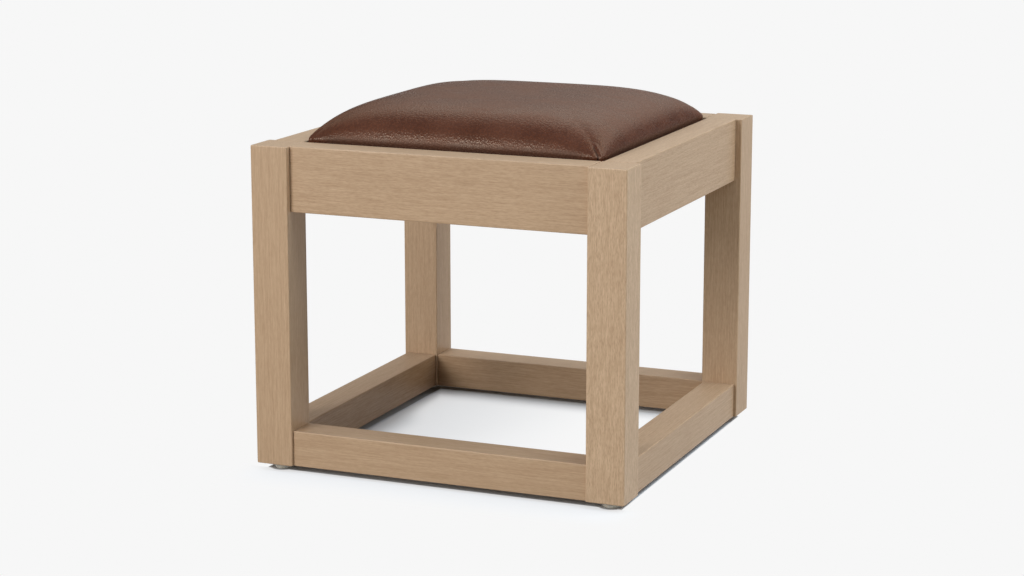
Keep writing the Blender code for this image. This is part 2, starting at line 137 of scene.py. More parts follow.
class NodeBoard:
    """Adds nodes to one node tree and joins their sockets."""

    def __init__(self, tree: bpy.types.NodeTree) -> None:
        """Keeps the tree that the nodes go into."""
        self.tree = tree

    def add(self, kind: str, inputs: dict[Any, Any] | None = None, **settings: Any) -> bpy.types.Node:
        """Adds one node.

        Args:
            kind: Blender's node type without its ShaderNode prefix.
            inputs: Values or sockets by the name or number of the input.
            settings: Other properties of the node.

        Returns:
            The new node.
        """
        node = self.tree.nodes.new("ShaderNode" + kind)
        for key, value in settings.items():
            setattr(node, key, value)
        for key, value in (inputs or {}).items():
            if isinstance(value, Socket):
                self.tree.links.new(value, node.inputs[key])
            else:
                node.inputs[key].default_value = value
        return node

    def join(self, source: Socket, target: Socket) -> None:
        """Links two sockets."""
        self.tree.links.new(source, target)

    def math(self, operation: str, first: Any, second: Any = 0.0, third: Any = 0.0) -> Socket:
        """Adds a Math node and gives its result."""
        return self.add("Math", {0: first, 1: second, 2: third}, operation=operation).outputs[0]

    def times(self, first: Any, second: Any) -> Socket:
        """Multiplies two values."""
        return self.math("MULTIPLY", first, second)

    def plus(self, first: Any, second: Any) -> Socket:
        """Adds two values."""
        return self.math("ADD", first, second)

    def minus(self, first: Any, second: Any) -> Socket:
        """Takes the second value from the first."""
        return self.math("SUBTRACT", first, second)

    def most(self, first: Any, second: Any) -> Socket:
        """Gives the larger of two values."""
        return self.math("MAXIMUM", first, second)

    def least(self, first: Any, second: Any) -> Socket:
        """Gives the smaller of two values."""
        return self.math("MINIMUM", first, second)

    def length(self, place: Socket) -> Socket:
        """Gives the length of a vector."""
        return self.add("VectorMath", {0: place}, operation="LENGTH").outputs["Value"]

    def shrunk(self, place: Socket, size: Socket) -> Socket:
        """Divides a place by a size.

        Args:
            place: The place.
            size: What it is divided by.

        Returns:
            The place, counted in sizes.
        """
        node = self.add("VectorMath", {0: place}, operation="SCALE")
        self.join(self.math("DIVIDE", 1.0, size), node.inputs["Scale"])
        return node.outputs[0]

    def stored(self, name: str) -> Socket:
        """Gives a number that is stored on the mesh."""
        return self.add("Attribute", attribute_name=name).outputs["Fac"]

    def stretch(self, place: Socket, scale: Triple) -> Socket:
        """Scales a place by a factor for each axis."""
        return self.add("VectorMath", {0: place, 1: scale}, operation="MULTIPLY").outputs[0]

    def grained(self, place: Socket, along: float, across: float) -> Socket:
        """Scales a place by one factor along the grain and by another across it."""
        return self.stretch(place, (along, across, across))

    def noise(self, place: Socket, scale: float = 1.0, detail: float = 2.0, rough: float = 0.5) -> Socket:
        """Adds a noise texture and gives its value, about 0 to 1."""
        inputs = {"Vector": place, "Scale": scale, "Detail": detail, "Roughness": rough}
        return self.add("TexNoise", inputs).outputs[0]

    def cells(self, place: Socket, scale: float = 1.0) -> Socket:
        """Adds a cell texture and gives the distance to the nearest cell's middle."""
        return self.add("TexVoronoi", {"Vector": place, "Scale": scale}).outputs["Distance"]

    def rise(self, value: Socket, low: float, high: float, first: float = 0.0, last: float = 1.0) -> Socket:
        """Maps low to first and high to last with a smooth step."""
        inputs = {"Value": value, "From Min": low, "From Max": high, "To Min": first, "To Max": last}
        return self.add("MapRange", inputs, interpolation_type="SMOOTHSTEP").outputs[0]

    def span(self, value: Socket, first: float, last: float) -> Socket:
        """Maps 0 to first and 1 to last in a straight line, held at the ends."""
        inputs = {"Value": value, "To Min": first, "To Max": last}
        return self.add("MapRange", inputs).outputs[0]

    def mirrored(self, path: bpy.types.Node) -> Socket:
        """Gives 1 for a light path's reflected rays and those through clear things, 0 for the others."""
        return self.most(path.outputs["Is Glossy Ray"], path.outputs["Is Transmission Ray"])

    def mix(self, share: Any, first: Any, second: Any, held: bool = True) -> Socket:
        """Mixes two colours by a share, which is held between 0 and 1 unless told otherwise."""
        inputs = {0: share, 6: first, 7: second}
        return self.add("Mix", inputs, data_type="RGBA", clamp_factor=held).outputs[2]


class Effect:
    """A shader node group under construction, with its named inputs and outputs."""

    def __init__(self, name: str, inputs: dict[str, str], outputs: dict[str, str]) -> None:
        """Makes the group and its sockets.

        Args:
            name: The group's name.
            inputs: Blender's kind of each input, without its NodeSocket prefix.
            outputs: The kind of each output.
        """
        self.tree = bpy.data.node_groups.new(name, "ShaderNodeTree")
        for way, sockets in (("INPUT", inputs), ("OUTPUT", outputs)):
            for label, kind in sockets.items():
                self.tree.interface.new_socket(label, in_out=way, socket_type="NodeSocket" + kind)
        self.entry = self.tree.nodes.new("NodeGroupInput")
        self.exit = self.tree.nodes.new("NodeGroupOutput")
        self.board = NodeBoard(self.tree)

    def take(self, name: str) -> Socket:
        """Gives the socket of a named input."""
        return self.entry.outputs[name]

    def give(self, name: str, value: Socket) -> None:
        """Puts a value out under a name."""
        self.board.join(value, self.exit.inputs[name])


class SharedEffects:
    """The effects that more than one finish uses, each built once as a node group."""

    def __init__(self) -> None:
        """Builds the groups."""
        self.solid_wood = self._solid_wood()
        self.mottle = self._mottle()
        self.fibres = self._fibres()

    def _solid_wood(self) -> bpy.types.NodeTree:
        """Builds wood as a solid: rings round the log's heart, streaks along it, and short ray flecks.

        Returns:
            A group that turns a place (along the grain, and two offsets from the heart) into a
            colour, a roughness and a height.
        """
        effect = Effect(
            "solid_wood",
            {
                "Place": "Vector", "Pale": "Color", "Deep": "Color", "Fleck Tone": "Color",
                "Ring Width": "Float", "Ring Depth": "Float", "Streak Depth": "Float",
                "Fleck Depth": "Float", "Tone": "Float", "Roughness": "Float",
            },
            {"Color": "Color", "Roughness": "Float", "Height": "Float"},
        )
        board = effect.board
        place = effect.take("Place")
        # The rings wander along the length, so the place is bent before its radius is taken
        bend = board.add("TexNoise", {"Vector": board.grained(place, 2.0, 9.0), "Detail": 1.0})
        offset = board.add("VectorMath", {0: bend.outputs["Color"], 1: (0.5, 0.5, 0.5)}, operation="SUBTRACT")
        sway = board.grained(offset.outputs[0], 0.0, 0.004)
        bent = board.add("VectorMath", {0: place, 1: sway}, operation="ADD").outputs[0]
        flat = board.grained(bent, 0.0, 1.0)
        radius = board.length(flat)
        ring = board.math("FRACT", board.math("DIVIDE", radius, effect.take("Ring Width")))
        late = board.times(board.rise(ring, 0.25, 0.9), board.rise(ring, 0.9, 1.0, 1.0, 0.0))
        # The factors along and across the grain are repeats in a metre
        streak = board.noise(board.grained(place, 24.0, 620.0), detail=2.0, rough=0.6)
        broad = board.noise(board.grained(place, 5.0, 110.0), detail=2.0)
        dash = board.noise(board.grained(place, 130.0, 950.0), detail=0.0)
        cloud = board.noise(board.grained(place, 6.0, 10.0), detail=1.0)
        # Ray flecks are short lens shapes along the grain, thicker in some patches than in others
        lens = board.cells(board.grained(place, 180.0, 1050.0))
        patch = board.rise(board.noise(board.grained(place, 26.0, 70.0)), -0.10, 0.55)
        fleck = board.times(board.rise(lens, 0.10, 0.46, 1.0, 0.0), patch)
        fleck_share = board.times(fleck, effect.take("Fleck Depth"))
        ring_part = board.times(board.minus(late, 0.35), effect.take("Ring Depth"))
        fine_part = board.times(board.minus(streak, 0.5), effect.take("Streak Depth"))
        broad_part = board.times(board.minus(broad, 0.5), 0.3)
        dash_part = board.times(board.minus(dash, 0.5), effect.take("Fleck Depth"))
        tone = board.plus(board.plus(ring_part, fine_part), broad_part)
        tone = board.math("MULTIPLY_ADD", dash_part, 4.5, tone)
        tone = board.plus(tone, board.span(cloud, 0.3, 0.7))
        tone = board.plus(tone, effect.take("Tone"))
        # Beyond 0 and 1 the tone goes on past the pale and the deep colour
        tone = board.add("Clamp", {"Value": tone, "Min": -1.2, "Max": 2.0}).outputs[0]
        ground = board.mix(tone, effect.take("Pale"), effect.take("Deep"), held=False)
        effect.give("Color", board.mix(fleck_share, ground, effect.take("Fleck Tone")))
        rough = board.plus(effect.take("Roughness"), board.span(streak, -0.07, 0.07))
        effect.give("Roughness", board.plus(rough, board.times(fleck_share, 0.12)))
        height = board.minus(board.times(streak, 0.6), fleck_share)
        effect.give("Height", board.minus(height, board.times(late, 0.25)))
        return effect.tree

    def _mottle(self) -> bpy.types.NodeTree:
        """Builds an uneven tone, as on moulded or plated surfaces: two sizes of noise, mixed.

        Returns:
            A group that turns a place and a grain size into a mask, and a finer height.
        """
        effect = Effect("mottle", {"Place": "Vector", "Size": "Float"}, {"Mask": "Float", "Height": "Float"})
        board = effect.board
        near = board.shrunk(effect.take("Place"), effect.take("Size"))
        wide = board.noise(near, 1.0, 3.0)
        fine = board.noise(near, 9.0, 2.0)
        effect.give("Mask", board.rise(board.plus(wide, board.span(fine, -0.1, 0.1)), 0.3, 0.7))
        effect.give("Height", fine)
        return effect.tree

    def _fibres(self) -> bpy.types.NodeTree:
        """Builds crossing fibres: thin bright lines where two stretched noises pass through their middle.

        Returns:
            A group that turns a place and a fibre width into a mask.
        """
        effect = Effect("fibres", {"Place": "Vector", "Width": "Float"}, {"Mask": "Float"})
        board = effect.board
        near = board.shrunk(effect.take("Place"), effect.take("Width"))
        lines = []
        for stretch in ((0.05, 0.4, 0.3), (0.4, 0.05, 0.3), (0.18, 0.2, 0.1)):
            wave = board.noise(board.stretch(near, stretch), 1.0, 2.0)
            off = board.math("ABSOLUTE", board.minus(wave, 0.5))
            lines.append(board.rise(off, 0.0, 0.06, 1.0, 0.0))
        both = board.most(lines[0], lines[1])
        effect.give("Mask", board.most(both, lines[2]))
        return effect.tree


class GrainSource(Enum):
    """Where a wood finish takes its grain coordinates from."""

    STORED = "grain"
    ALONG_X = "x"
    ALONG_Y = "y"


@dataclass(frozen=True)
class Surface:
    """A material under construction: its board, its Principled shader and its object coordinates."""

    material: Material
    board: NodeBoard
    shader: bpy.types.Node
    place: Socket

    @classmethod
    def start(cls, name: str, **constants: Any) -> "Surface":
        """Makes a material with a Principled shader.

        Args:
            name: The material's name.
            constants: Values for the shader's own sockets, with _ for a space.

        Returns:
            The surface, ready for its colour and bump.
        """
        material = bpy.data.materials.new(name)
        material.use_nodes = True
        board = NodeBoard(material.node_tree)
        shader = material.node_tree.nodes["Principled BSDF"]
        for key, value in constants.items():
            shader.inputs[key.replace("_", " ")].default_value = value
        place = board.add("TexCoord").outputs["Object"]
        return cls(material, board, shader, place)

    def group(self, tree: bpy.types.NodeTree, **inputs: Any) -> bpy.types.Node:
        """Places a shared effect with its own values.

        Args:
            tree: The effect's node group.
            inputs: Values or sockets by name, with _ for a space.

        Returns:
            The group's node.
        """
        node = self.material.node_tree.nodes.new("ShaderNodeGroup")
        node.node_tree = tree
        for key, value in inputs.items():
            socket = node.inputs[key.replace("_", " ")]
            if isinstance(value, Socket):
                self.board.join(value, socket)
            else:
                socket.default_value = value
        return node

    def finish(
        self, colour: Socket, rough: Socket, height: Socket, strength: float, depth: float,
    ) -> Material:
        """Feeds the shader's colour, its roughness, and its normal through a bump.

        Args:
            colour: The base colour.
            rough: The roughness.
            height: The height of the fine relief, about 0 to 1.
            strength: How much of the bump shows.
            depth: How deep the relief is.

        Returns:
            The finished material.
        """
        bump = self.board.add("Bump", {"Height": height, "Strength": strength, "Distance": depth}).outputs[0]
        for label, value in (("Base Color", colour), ("Roughness", rough), ("Normal", bump)):
            self.board.join(value, self.shader.inputs[label])
        return self.material


@dataclass(frozen=True)
class WoodFinish:
    """Solid wood: its tones, the width of its rings, and how much its streaks and flecks show."""

    name: str
    pale: Colour
    deep: Colour
    fleck: Colour
    ring_width: float = 0.0032
    ring_depth: float = 0.16
    streak_depth: float = 1.7
    fleck_depth: float = 0.42
    rough: float = 0.46
    heart: Triple = (0.0, 0.11, 0.03)
    source: GrainSource = GrainSource.STORED
    bump_strength: float = 0.2
    bump_depth: float = 0.0002
    rub_scale: float = 90.0
    rub_shares: Pair = (0.1, 0.5)

    def _place(self, surface: Surface) -> Socket:
        """Gives the place along and across the grain, from the stored attribute or turned by a Mapping.

        Args:
            surface: The material under construction.

        Returns:
            The place as (along, a, b).
        """
        if self.source is GrainSource.STORED:
            return surface.board.add("Attribute", attribute_name="grain").outputs["Vector"]
        turn = 0.0 if self.source is GrainSource.ALONG_X else -math.pi / 2
        inputs = {"Vector": surface.place, "Location": self.heart, "Rotation": (0.0, 0.0, turn)}
        return surface.board.add("Mapping", inputs).outputs[0]

    def material(self, effects: SharedEffects) -> Material:
        """Builds the material.

        Args:
            effects: The shared node groups.

        Returns:
            The finished material.
        """
        surface = Surface.start(self.name)
        board = surface.board
        stored = self.source is GrainSource.STORED
        flecks: Any = self.fleck_depth
        tone: Any = 0.0
        if stored:
            flecks = board.times(board.stored("fleck"), self.fleck_depth)
            tone = board.stored("tone")
        wood = surface.group(
            effects.solid_wood, Place=self._place(surface), Pale=self.pale, Deep=self.deep,
            Fleck_Tone=self.fleck, Ring_Width=self.ring_width, Ring_Depth=self.ring_depth,
            Streak_Depth=self.streak_depth, Fleck_Depth=flecks, Tone=tone, Roughness=self.rough,
        )
        colour = wood.outputs["Color"]
        if stored:
            # The eased edges are rubbed a little paler
            rub = board.span(board.noise(surface.place, self.rub_scale), *self.rub_shares)
            colour = board.mix(board.times(board.stored("edge"), rub), colour, self.pale)
        rough = wood.outputs["Roughness"]
        return surface.finish(colour, rough, wood.outputs["Height"], self.bump_strength, self.bump_depth)


@dataclass(frozen=True)
class PlywoodFinish:
    """Birch plywood: turned veneers that show as bands on the edges, with grain on the faces."""

    name: str = "plywood"
    pale: Colour = linear(206, 178, 138)
    deep: Colour = linear(176, 140, 98)
    heart: Triple = (0.0, 0.3, 0.08)
    ply: float = 0.0024
    edge_ply: Colour = linear(134, 98, 64)
    bump_strength: float = 0.3
    bump_depth: float = 0.0003

    def material(self, effects: SharedEffects) -> Material:
        """Builds the material from the shared wood, with every second ply darker.

        Args:
            effects: The shared node groups.

        Returns:
            The finished material.
        """
        surface = Surface.start(self.name)
        board = surface.board
        turned = board.add("Mapping", {"Vector": surface.place, "Location": self.heart}).outputs[0]
        wood = surface.group(
            effects.solid_wood, Place=turned, Pale=self.pale, Deep=self.deep, Fleck_Tone=self.deep,
            Ring_Width=0.011, Ring_Depth=0.5, Streak_Depth=0.6, Fleck_Depth=0.1, Roughness=0.62,
        )
        up = board.add("SeparateXYZ", {0: surface.place}).outputs[2]
        layer = board.math("FRACT", board.math("DIVIDE", up, 2 * self.ply))
        face_up = board.add("NewGeometry").outputs["True Normal"]
        level = board.math("ABSOLUTE", board.add("SeparateXYZ", {0: face_up}).outputs[2])
        dark = board.times(board.rise(layer, 0.46, 0.54), board.rise(level, 0.3, 0.7, 0.55, 0.0))
        colour = board.mix(dark, wood.outputs["Color"], self.edge_ply)
        rough = wood.outputs["Roughness"]
        return surface.finish(colour, rough, wood.outputs["Height"], self.bump_strength, self.bump_depth)


@dataclass(frozen=True)
class LeatherFinish:
    """Pebbled brown hide: rounded cells with darker valleys, cloudy tone and a soft finish."""

    name: str = "leather"
    deep: Colour = (0.053, 0.0145, 0.0070, 1.0)
    warm: Colour = (0.115, 0.0355, 0.0165, 1.0)
    # The colour of the painted shade along the foot and in the pleats
    painted_shade_colour: Colour = (0.012, 0.005, 0.003, 1.0)
    gloss_tint: Colour = (1.0, 0.82, 0.65, 1.0)
    suede_deep: Colour = linear(92, 62, 48)
    suede_pale: Colour = linear(128, 92, 72)
    shine: float = 0.49
    cloud: float = 0.045
    nap: float = 0.0006
    pebble: float = 0.0026
    sway: float = 0.0012
    sway_scale: float = 240.0
    pore_scale: float = 1500.0
    drag_scale: Triple = (14.0, 95.0, 60.0)
    rough: float = 0.25
    bump_strength: float = 0.44
    bump_depth: float = 0.0005

    def material(self, effects: SharedEffects) -> Material:
        """Builds the grain side.

        Args:
            effects: The shared node groups.

        Returns:
            The finished material.
        """
        surface = Surface.start(self.name, Specular_IOR_Level=self.shine, Specular_Tint=self.gloss_tint)
        board = surface.board
        bend = board.add("TexNoise", {"Vector": surface.place, "Scale": self.sway_scale, "Detail": 2.0})
        sway = board.stretch(bend.outputs["Color"], (self.sway, self.sway, self.sway))
        bent = board.add("VectorMath", {0: surface.place, 1: sway}, operation="ADD").outputs[0]
        cell = board.cells(bent, 1 / self.pebble)
        crown = board.rise(cell, 0.1, 0.75, 1.0, 0.0)
        pore = board.noise(surface.place, self.pore_scale, 2.0)
        cloud = surface.group(effects.mottle, Place=surface.place, Size=self.cloud)
        drag = board.noise(board.stretch(surface.place, self.drag_scale), 1.0, 2.0)
        tone = board.times(crown, 0.45)
        tone = board.plus(tone, board.span(cloud.outputs["Mask"], 0.05, 0.3))
        tone = board.plus(tone, board.span(drag, -0.05, 0.2))
        # The stored share darkens the colour as painted shade along the foot and in the pleats, and roughens
        # it
        painted_shade_share = board.stored("painted_shade_share")
        colour = board.mix(painted_shade_share, board.mix(tone, self.deep, self.warm), self.painted_shade_colour)
        rough = board.plus(board.span(crown, self.rough + 0.12, self.rough), board.span(drag, -0.06, 0.06))
        rough = board.plus(rough, board.times(painted_shade_share, 0.6))
        rough = board.plus(rough, board.span(cloud.outputs["Mask"], -0.04, 0.04))
        height = board.plus(crown, board.times(pore, 0.3))
        return surface.finish(colour, rough, height, self.bump_strength, self.bump_depth)

    def flesh(self, effects: SharedEffects) -> Material:
        """Builds the suede side, which shows on the inside of the cover.

        Args:
            effects: The shared node groups.

        Returns:
            The finished material.
        """
        surface = Surface.start(self.name + "_flesh_side", Sheen_Weight=0.4)
        nap = surface.group(effects.fibres, Place=surface.place, Width=self.nap).outputs["Mask"]
        colour = surface.board.mix(nap, self.suede_deep, self.suede_pale)
        rough = surface.board.span(nap, 0.95, 0.8)
        return surface.finish(colour, rough, nap, 0.4, self.nap / 2)


@dataclass(frozen=True)
class ClothFinish:
    """Felted fibres, as in wadding or a non-woven cloth, with pressed dots where there are some."""

    name: str
    ground: Colour
    fibre: Colour
    width: float
    dot: float = 0.0
    rough: float = 0.9

    def material(self, effects: SharedEffects) -> Material:
        """Builds the material.

        Args:
            effects: The shared node groups.

        Returns:
            The finished material.
        """
        surface = Surface.start(self.name, Sheen_Weight=0.25)
        board = surface.board
        mask = surface.group(effects.fibres, Place=surface.place, Width=self.width).outputs["Mask"]
        height = mask
        if self.dot:
            flat = board.stretch(surface.place, (1 / self.dot, 1 / self.dot, 0.0))
            inputs = {"Vector": flat, "Scale": 1.0, "Randomness": 0.0}
            pitch = board.add("TexVoronoi", inputs).outputs["Distance"]
            pressed = board.rise(pitch, 0.18, 0.3, 1.0, 0.0)
            height = board.minus(mask, pressed)
        colour = board.mix(mask, self.ground, self.fibre)
        rough = board.span(mask, self.rough, self.rough - 0.12)
        return surface.finish(colour, rough, height, 0.5, self.width * 0.6)


@dataclass(frozen=True)
class FoamFinish:
    """Open-cell foam: small pits between bright cell walls, slightly yellowed."""

    name: str = "foam"
    wall: Colour = linear(226, 216, 176)
    pit: Colour = linear(176, 160, 112)
    cell: float = 0.0016
    cloud: float = 0.03
    bump_strength: float = 0.7
    bump_depth: float = 0.0006

    def material(self, effects: SharedEffects) -> Material:
        """Builds the material.

        Args:
            effects: The shared node groups.

        Returns:
            The finished material.
        """
        surface = Surface.start(self.name)
        board = surface.board
        pits = board.cells(surface.place, 1 / self.cell)
        cloud = surface.group(effects.mottle, Place=surface.place, Size=self.cloud).outputs["Mask"]
        share = board.times(board.rise(pits, 0.1, 0.55), 0.8)
        share = board.plus(share, board.span(cloud, 0.0, 0.2))
        colour = board.mix(share, self.pit, self.wall)
        rough = board.span(share, 1.0, 0.85)
        return surface.finish(colour, rough, pits, self.bump_strength, self.bump_depth)


@dataclass(frozen=True)
class MouldedFinish:
    """Moulded nylon or plated steel: an even tone with a faint mottle and fine marks."""

    name: str
    pale: Colour
    deep: Colour
    size: float
    smooth: float
    dull: float
    metallic: float = 0.0
    through: float = 0.0
    light_reach: Triple = (0.002, 0.0018, 0.0015)
    bump_strength: float = 0.12
    bump_depth: float = 0.0001

    def material(self, effects: SharedEffects) -> Material:
        """Builds the material.

        Args:
            effects: The shared node groups.

        Returns:
            The finished material.
        """
        surface = Surface.start(self.name, Metallic=self.metallic, Subsurface_Weight=self.through)
        board = surface.board
        surface.shader.inputs["Subsurface Radius"].default_value = self.light_reach
        cloud = surface.group(effects.mottle, Place=surface.place, Size=self.size)
        colour = board.mix(cloud.outputs["Mask"], self.deep, self.pale)
        rough = board.span(cloud.outputs["Mask"], self.dull, self.smooth)
        return surface.finish(colour, rough, cloud.outputs["Height"], self.bump_strength, self.bump_depth)


class Palette:
    """Every finish of the ottoman, built once."""

    def __init__(self, effects: SharedEffects) -> None:
        """Builds the materials.

        Args:
            effects: The shared node groups.
        """
        pale, deep, fleck = linear(192, 161, 129), linear(171, 139, 107), linear(138, 106, 76)
        bare = WoodFinish("tenon_beech_x", pale, deep, fleck, rough=0.65, source=GrainSource.ALONG_X)
        bare_y = WoodFinish("tenon_beech_y", pale, deep, fleck, rough=0.65, source=GrainSource.ALONG_Y)
        block = WoodFinish(
            "block_wood", linear(205, 178, 140), linear(176, 142, 102), linear(150, 112, 76),
            ring_width=0.005, ring_depth=0.5, fleck_depth=0.2, rough=0.68, source=GrainSource.ALONG_X,
        )
        self.beech = WoodFinish("beech", pale, deep, fleck).material(effects)
        self.tenon = {Axis.X: bare.material(effects), Axis.Y: bare_y.material(effects)}
        self.block = block.material(effects)
        self.plywood = PlywoodFinish().material(effects)
        self.leather = LeatherFinish().material(effects)
        self.flesh = LeatherFinish().flesh(effects)
        self.foam = FoamFinish().material(effects)
        wadding = ClothFinish("wrap", linear(214, 214, 210), linear(244, 244, 242), 0.0011)
        self.wrap = wadding.material(effects)
        self.dust = ClothFinish(
            "dust_cloth", linear(20, 20, 21), linear(44, 44, 46), 0.0005, dot=0.0014, rough=0.85,
        ).material(effects)
        self.nylon = MouldedFinish(
            "nylon", linear(226, 222, 212), linear(204, 199, 187), 0.004, 0.32, 0.45, through=0.35,
        ).material(effects)
        self.steel = MouldedFinish(
            "zinc_steel", linear(205, 206, 204), linear(150, 152, 152), 0.003, 0.26, 0.48, metallic=1.0,
        ).material(effects)


@dataclass
class Piece:
    """A new mesh and all that the frame has to know about it."""

    name: str
    points: Array
    faces: Faces
    materials: list[Material]
    slot: str
    body: str
    nodes: tuple[str, ...] = ()
    sharp: float = SHARP_ANGLE

    def build(self) -> Object:
        """Makes the object with its material and smooth shading up to the sharp angle.

        Returns:
            The object, not yet riding on its body.
        """
        mesh = bpy.data.meshes.new(self.name)
        mesh.from_pydata(self.points.reshape(-1, 3).tolist(), [], self.faces)
        mesh.update()
        mesh.shade_smooth()
        mesh.set_sharp_from_angle(angle=math.radians(self.sharp))
        for material in self.materials:
            mesh.materials.append(material)
        piece = bpy.data.objects.new(self.name, mesh)
        bpy.context.scene.collection.objects.link(piece)
        return piece

    def fit(self, piece: Object) -> None:
        """Hands the finished object to the frame, in the place of its nodes.

        Args:
            piece: The object that build made.
        """
        if self.nodes:
            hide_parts(*self.nodes)
        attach(piece, self.body)
        LOG.info("%s: %d faces, on %s", piece.name, len(piece.data.polygons), self.body)


def loft_faces(rows: int, columns: int, capped: bool = True) -> Faces:
    """Joins rings of points into quads, with a flat face over each end where they are capped.

    Args:
        rows: The number of rings, in order along the path.
        columns: The points in each ring, anticlockwise when seen against the path.
        capped: Whether the first and the last ring are closed.

    Returns:
        The faces, as lists of point numbers.
    """
    index = np.arange(rows * columns).reshape(rows, columns)
    onward = np.roll(index, -1, axis=1)
    quads = np.stack([index[:-1], onward[:-1], onward[1:], index[1:]], axis=-1)
    faces = quads.reshape(-1, 4).tolist()
    if capped:
        faces += [index[0, ::-1].tolist(), index[-1].tolist()]
    return faces


def grid_faces(rows: int, columns: int) -> Array:
    """Joins a grid of points into quads that face along rows x columns.

    Args:
        rows: The points along the first parameter.
        columns: The points along the second one.

    Returns:
        The quads, as rows of four point numbers.
    """
    index = np.arange(rows * columns).reshape(rows, columns)
    quads = np.stack([index[:-1, :-1], index[1:, :-1], index[1:, 1:], index[:-1, 1:]], axis=-1)
    return quads.reshape(-1, 4)


def eased_ring(along: float, half: Pair, radius: float, middle: Pair) -> Array:
    """A rectangle with round corners, at one place along a path.

    Each corner is a quarter circle about a centre that lies the radius inside both sides, so a
    radius of half the width gives a slot and of half both sides a circle. All rings have the same
    directions in the same order, and can be joined point to point.

    Args:
        along: The place along the path.
        half: Half the width and half the height.
        radius: The corners' radius.
        middle: The rectangle's middle across the path.

    Returns:
        The ring's points as (along, a, b).
    """
    quarter = np.linspace(0, math.pi / 2, EASE_STEPS + 1)
    turn = (np.arange(4)[:, None] * math.pi / 2 + quarter).ravel()
    centre = np.repeat(np.array([[1, 1], [-1, 1], [-1, -1], [1, -1]]), EASE_STEPS + 1, axis=0)
    centre = centre * (np.array(half) - radius)
    ring = np.array(middle) + centre + radius * np.stack([np.cos(turn), np.sin(turn)], axis=-1)
    return np.column_stack([np.full(len(ring), along), ring])


def turned_rings(radii: Array, heights: Array, middle: Pair, steps: int) -> Array:
    """Turns a profile of radius and height round an upright axis.

    Args:
        radii: The profile's radii.
        heights: Its heights.
        middle: The axis, as (x, y).
        steps: Points in each ring.

    Returns:
        One ring for each point of the profile.
    """
    turn = np.linspace(0, 2 * math.pi, steps, endpoint=False)
    x = middle[0] + radii[:, None] * np.cos(turn)
    y = middle[1] + radii[:, None] * np.sin(turn)
    return np.stack([x, y, np.broadcast_to(heights[:, None], x.shape)], axis=-1)


def apply_modifiers(piece: Object) -> None:
    """Replaces the piece's mesh by what its modifiers make of it, and removes them.

    Args:
        piece: The piece's object.
    """
    graph = bpy.context.evaluated_depsgraph_get()
    mesh = bpy.data.meshes.new_from_object(piece.evaluated_get(graph))
    piece.modifiers.clear()
    old = piece.data
    piece.data = mesh
    bpy.data.meshes.remove(old)


def read_rows(rows: Any, key: str) -> Array:
    """Reads one vector from each row of a mesh's data.

    Args:
        rows: The mesh's points or its point normals.
        key: The vector's name in a row.

    Returns:
        The vectors, as rows of (x, y, z).
    """
    flat = np.empty(len(rows) * 3)
    rows.foreach_get(key, flat)
    return flat.reshape(-1, 3)


def read_points(mesh: bpy.types.Mesh) -> Array:
    """Gives a mesh's points as rows of (x, y, z)."""
    return read_rows(mesh.vertices, "co")


def read_normals(mesh: bpy.types.Mesh) -> Array:
    """Gives a mesh's point normals as rows of (x, y, z)."""
    return read_rows(mesh.vertex_normals, "vector")


def write_points(mesh: bpy.types.Mesh, points: Array) -> None:
    """Moves a mesh's points."""
    mesh.vertices.foreach_set("co", points.ravel())
    mesh.update()


def store(mesh: bpy.types.Mesh, name: str, values: Array) -> None:
    """Stores numbers, or rows of three numbers, as an attribute on the mesh's points.

    Args:
        mesh: The mesh.
        name: The attribute's name.
        values: One number or three for each point.
    """
    kind, key = ("FLOAT", "value") if values.ndim == 1 else ("FLOAT_VECTOR", "vector")
    layer = mesh.attributes.new(name, kind, "POINT")
    layer.data.foreach_set(key, values.astype(np.float32).ravel())


def corners_of(node: str) -> tuple[Array, Array]:
    """Gives a node's lowest and highest corner as arrays."""
    low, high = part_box(node)
    return np.array(low), np.array(high)


def local_corners(node: str, axis: Axis) -> tuple[Array, Array]:
    """Gives a node's lowest and highest corner as (along, a, b)."""
    low, high = corners_of(node)
    return axis.local(low), axis.local(high)


def dress(node: Object, material: Material) -> None:
    """Puts one material on a CAD node.

    Args:
        node: The CAD node.
        material: Its material.
    """
    node.data.materials.clear()
    node.data.materials.append(material)
    LOG.info("%s: CAD shape, %s", node.name, material.name)


def ease(node: Object, width: float) -> None:
    """Rounds a CAD node's sharp edges by modifiers, which first join its loose triangles.

    Args:
        node: The CAD node.
        width: How wide the rounding is.
    """
    join = node.modifiers.new("join", "WELD")
    join.merge_threshold = 0.00002
    bevel = node.modifiers.new("ease", "BEVEL")
    bevel.width = width
    bevel.segments = 2
    bevel.limit_method = "ANGLE"
    bevel.angle_limit = math.radians(40)


def thicken(piece: Object, thickness: float, offset: float = -1.0) -> bpy.types.Modifier:
    """Gives a sheet its thickness by a modifier.

    Args:
        piece: The sheet's object.
        thickness: How thick it gets.
        offset: -1 for inwards and 1 for outwards.

    Returns:
        The modifier.
    """
    wall = piece.modifiers.new("thickness", "SOLIDIFY")
    wall.thickness = thickness
    wall.offset = offset
    return wall


@dataclass(frozen=True)
class Cut:
    """How a member lay in its log: the heart's offset, a shift along the grain, flecks, tone and top.

    The tone is 0 for the usual wood and above 0 for deeper wood, which on the back and left stretchers
    is painted shade. The top is added on the upper face as painted light.
    """

    heart: Pair
    shift: float
    flecks: float
    tone: float = 0.0
    top: float = 0.0


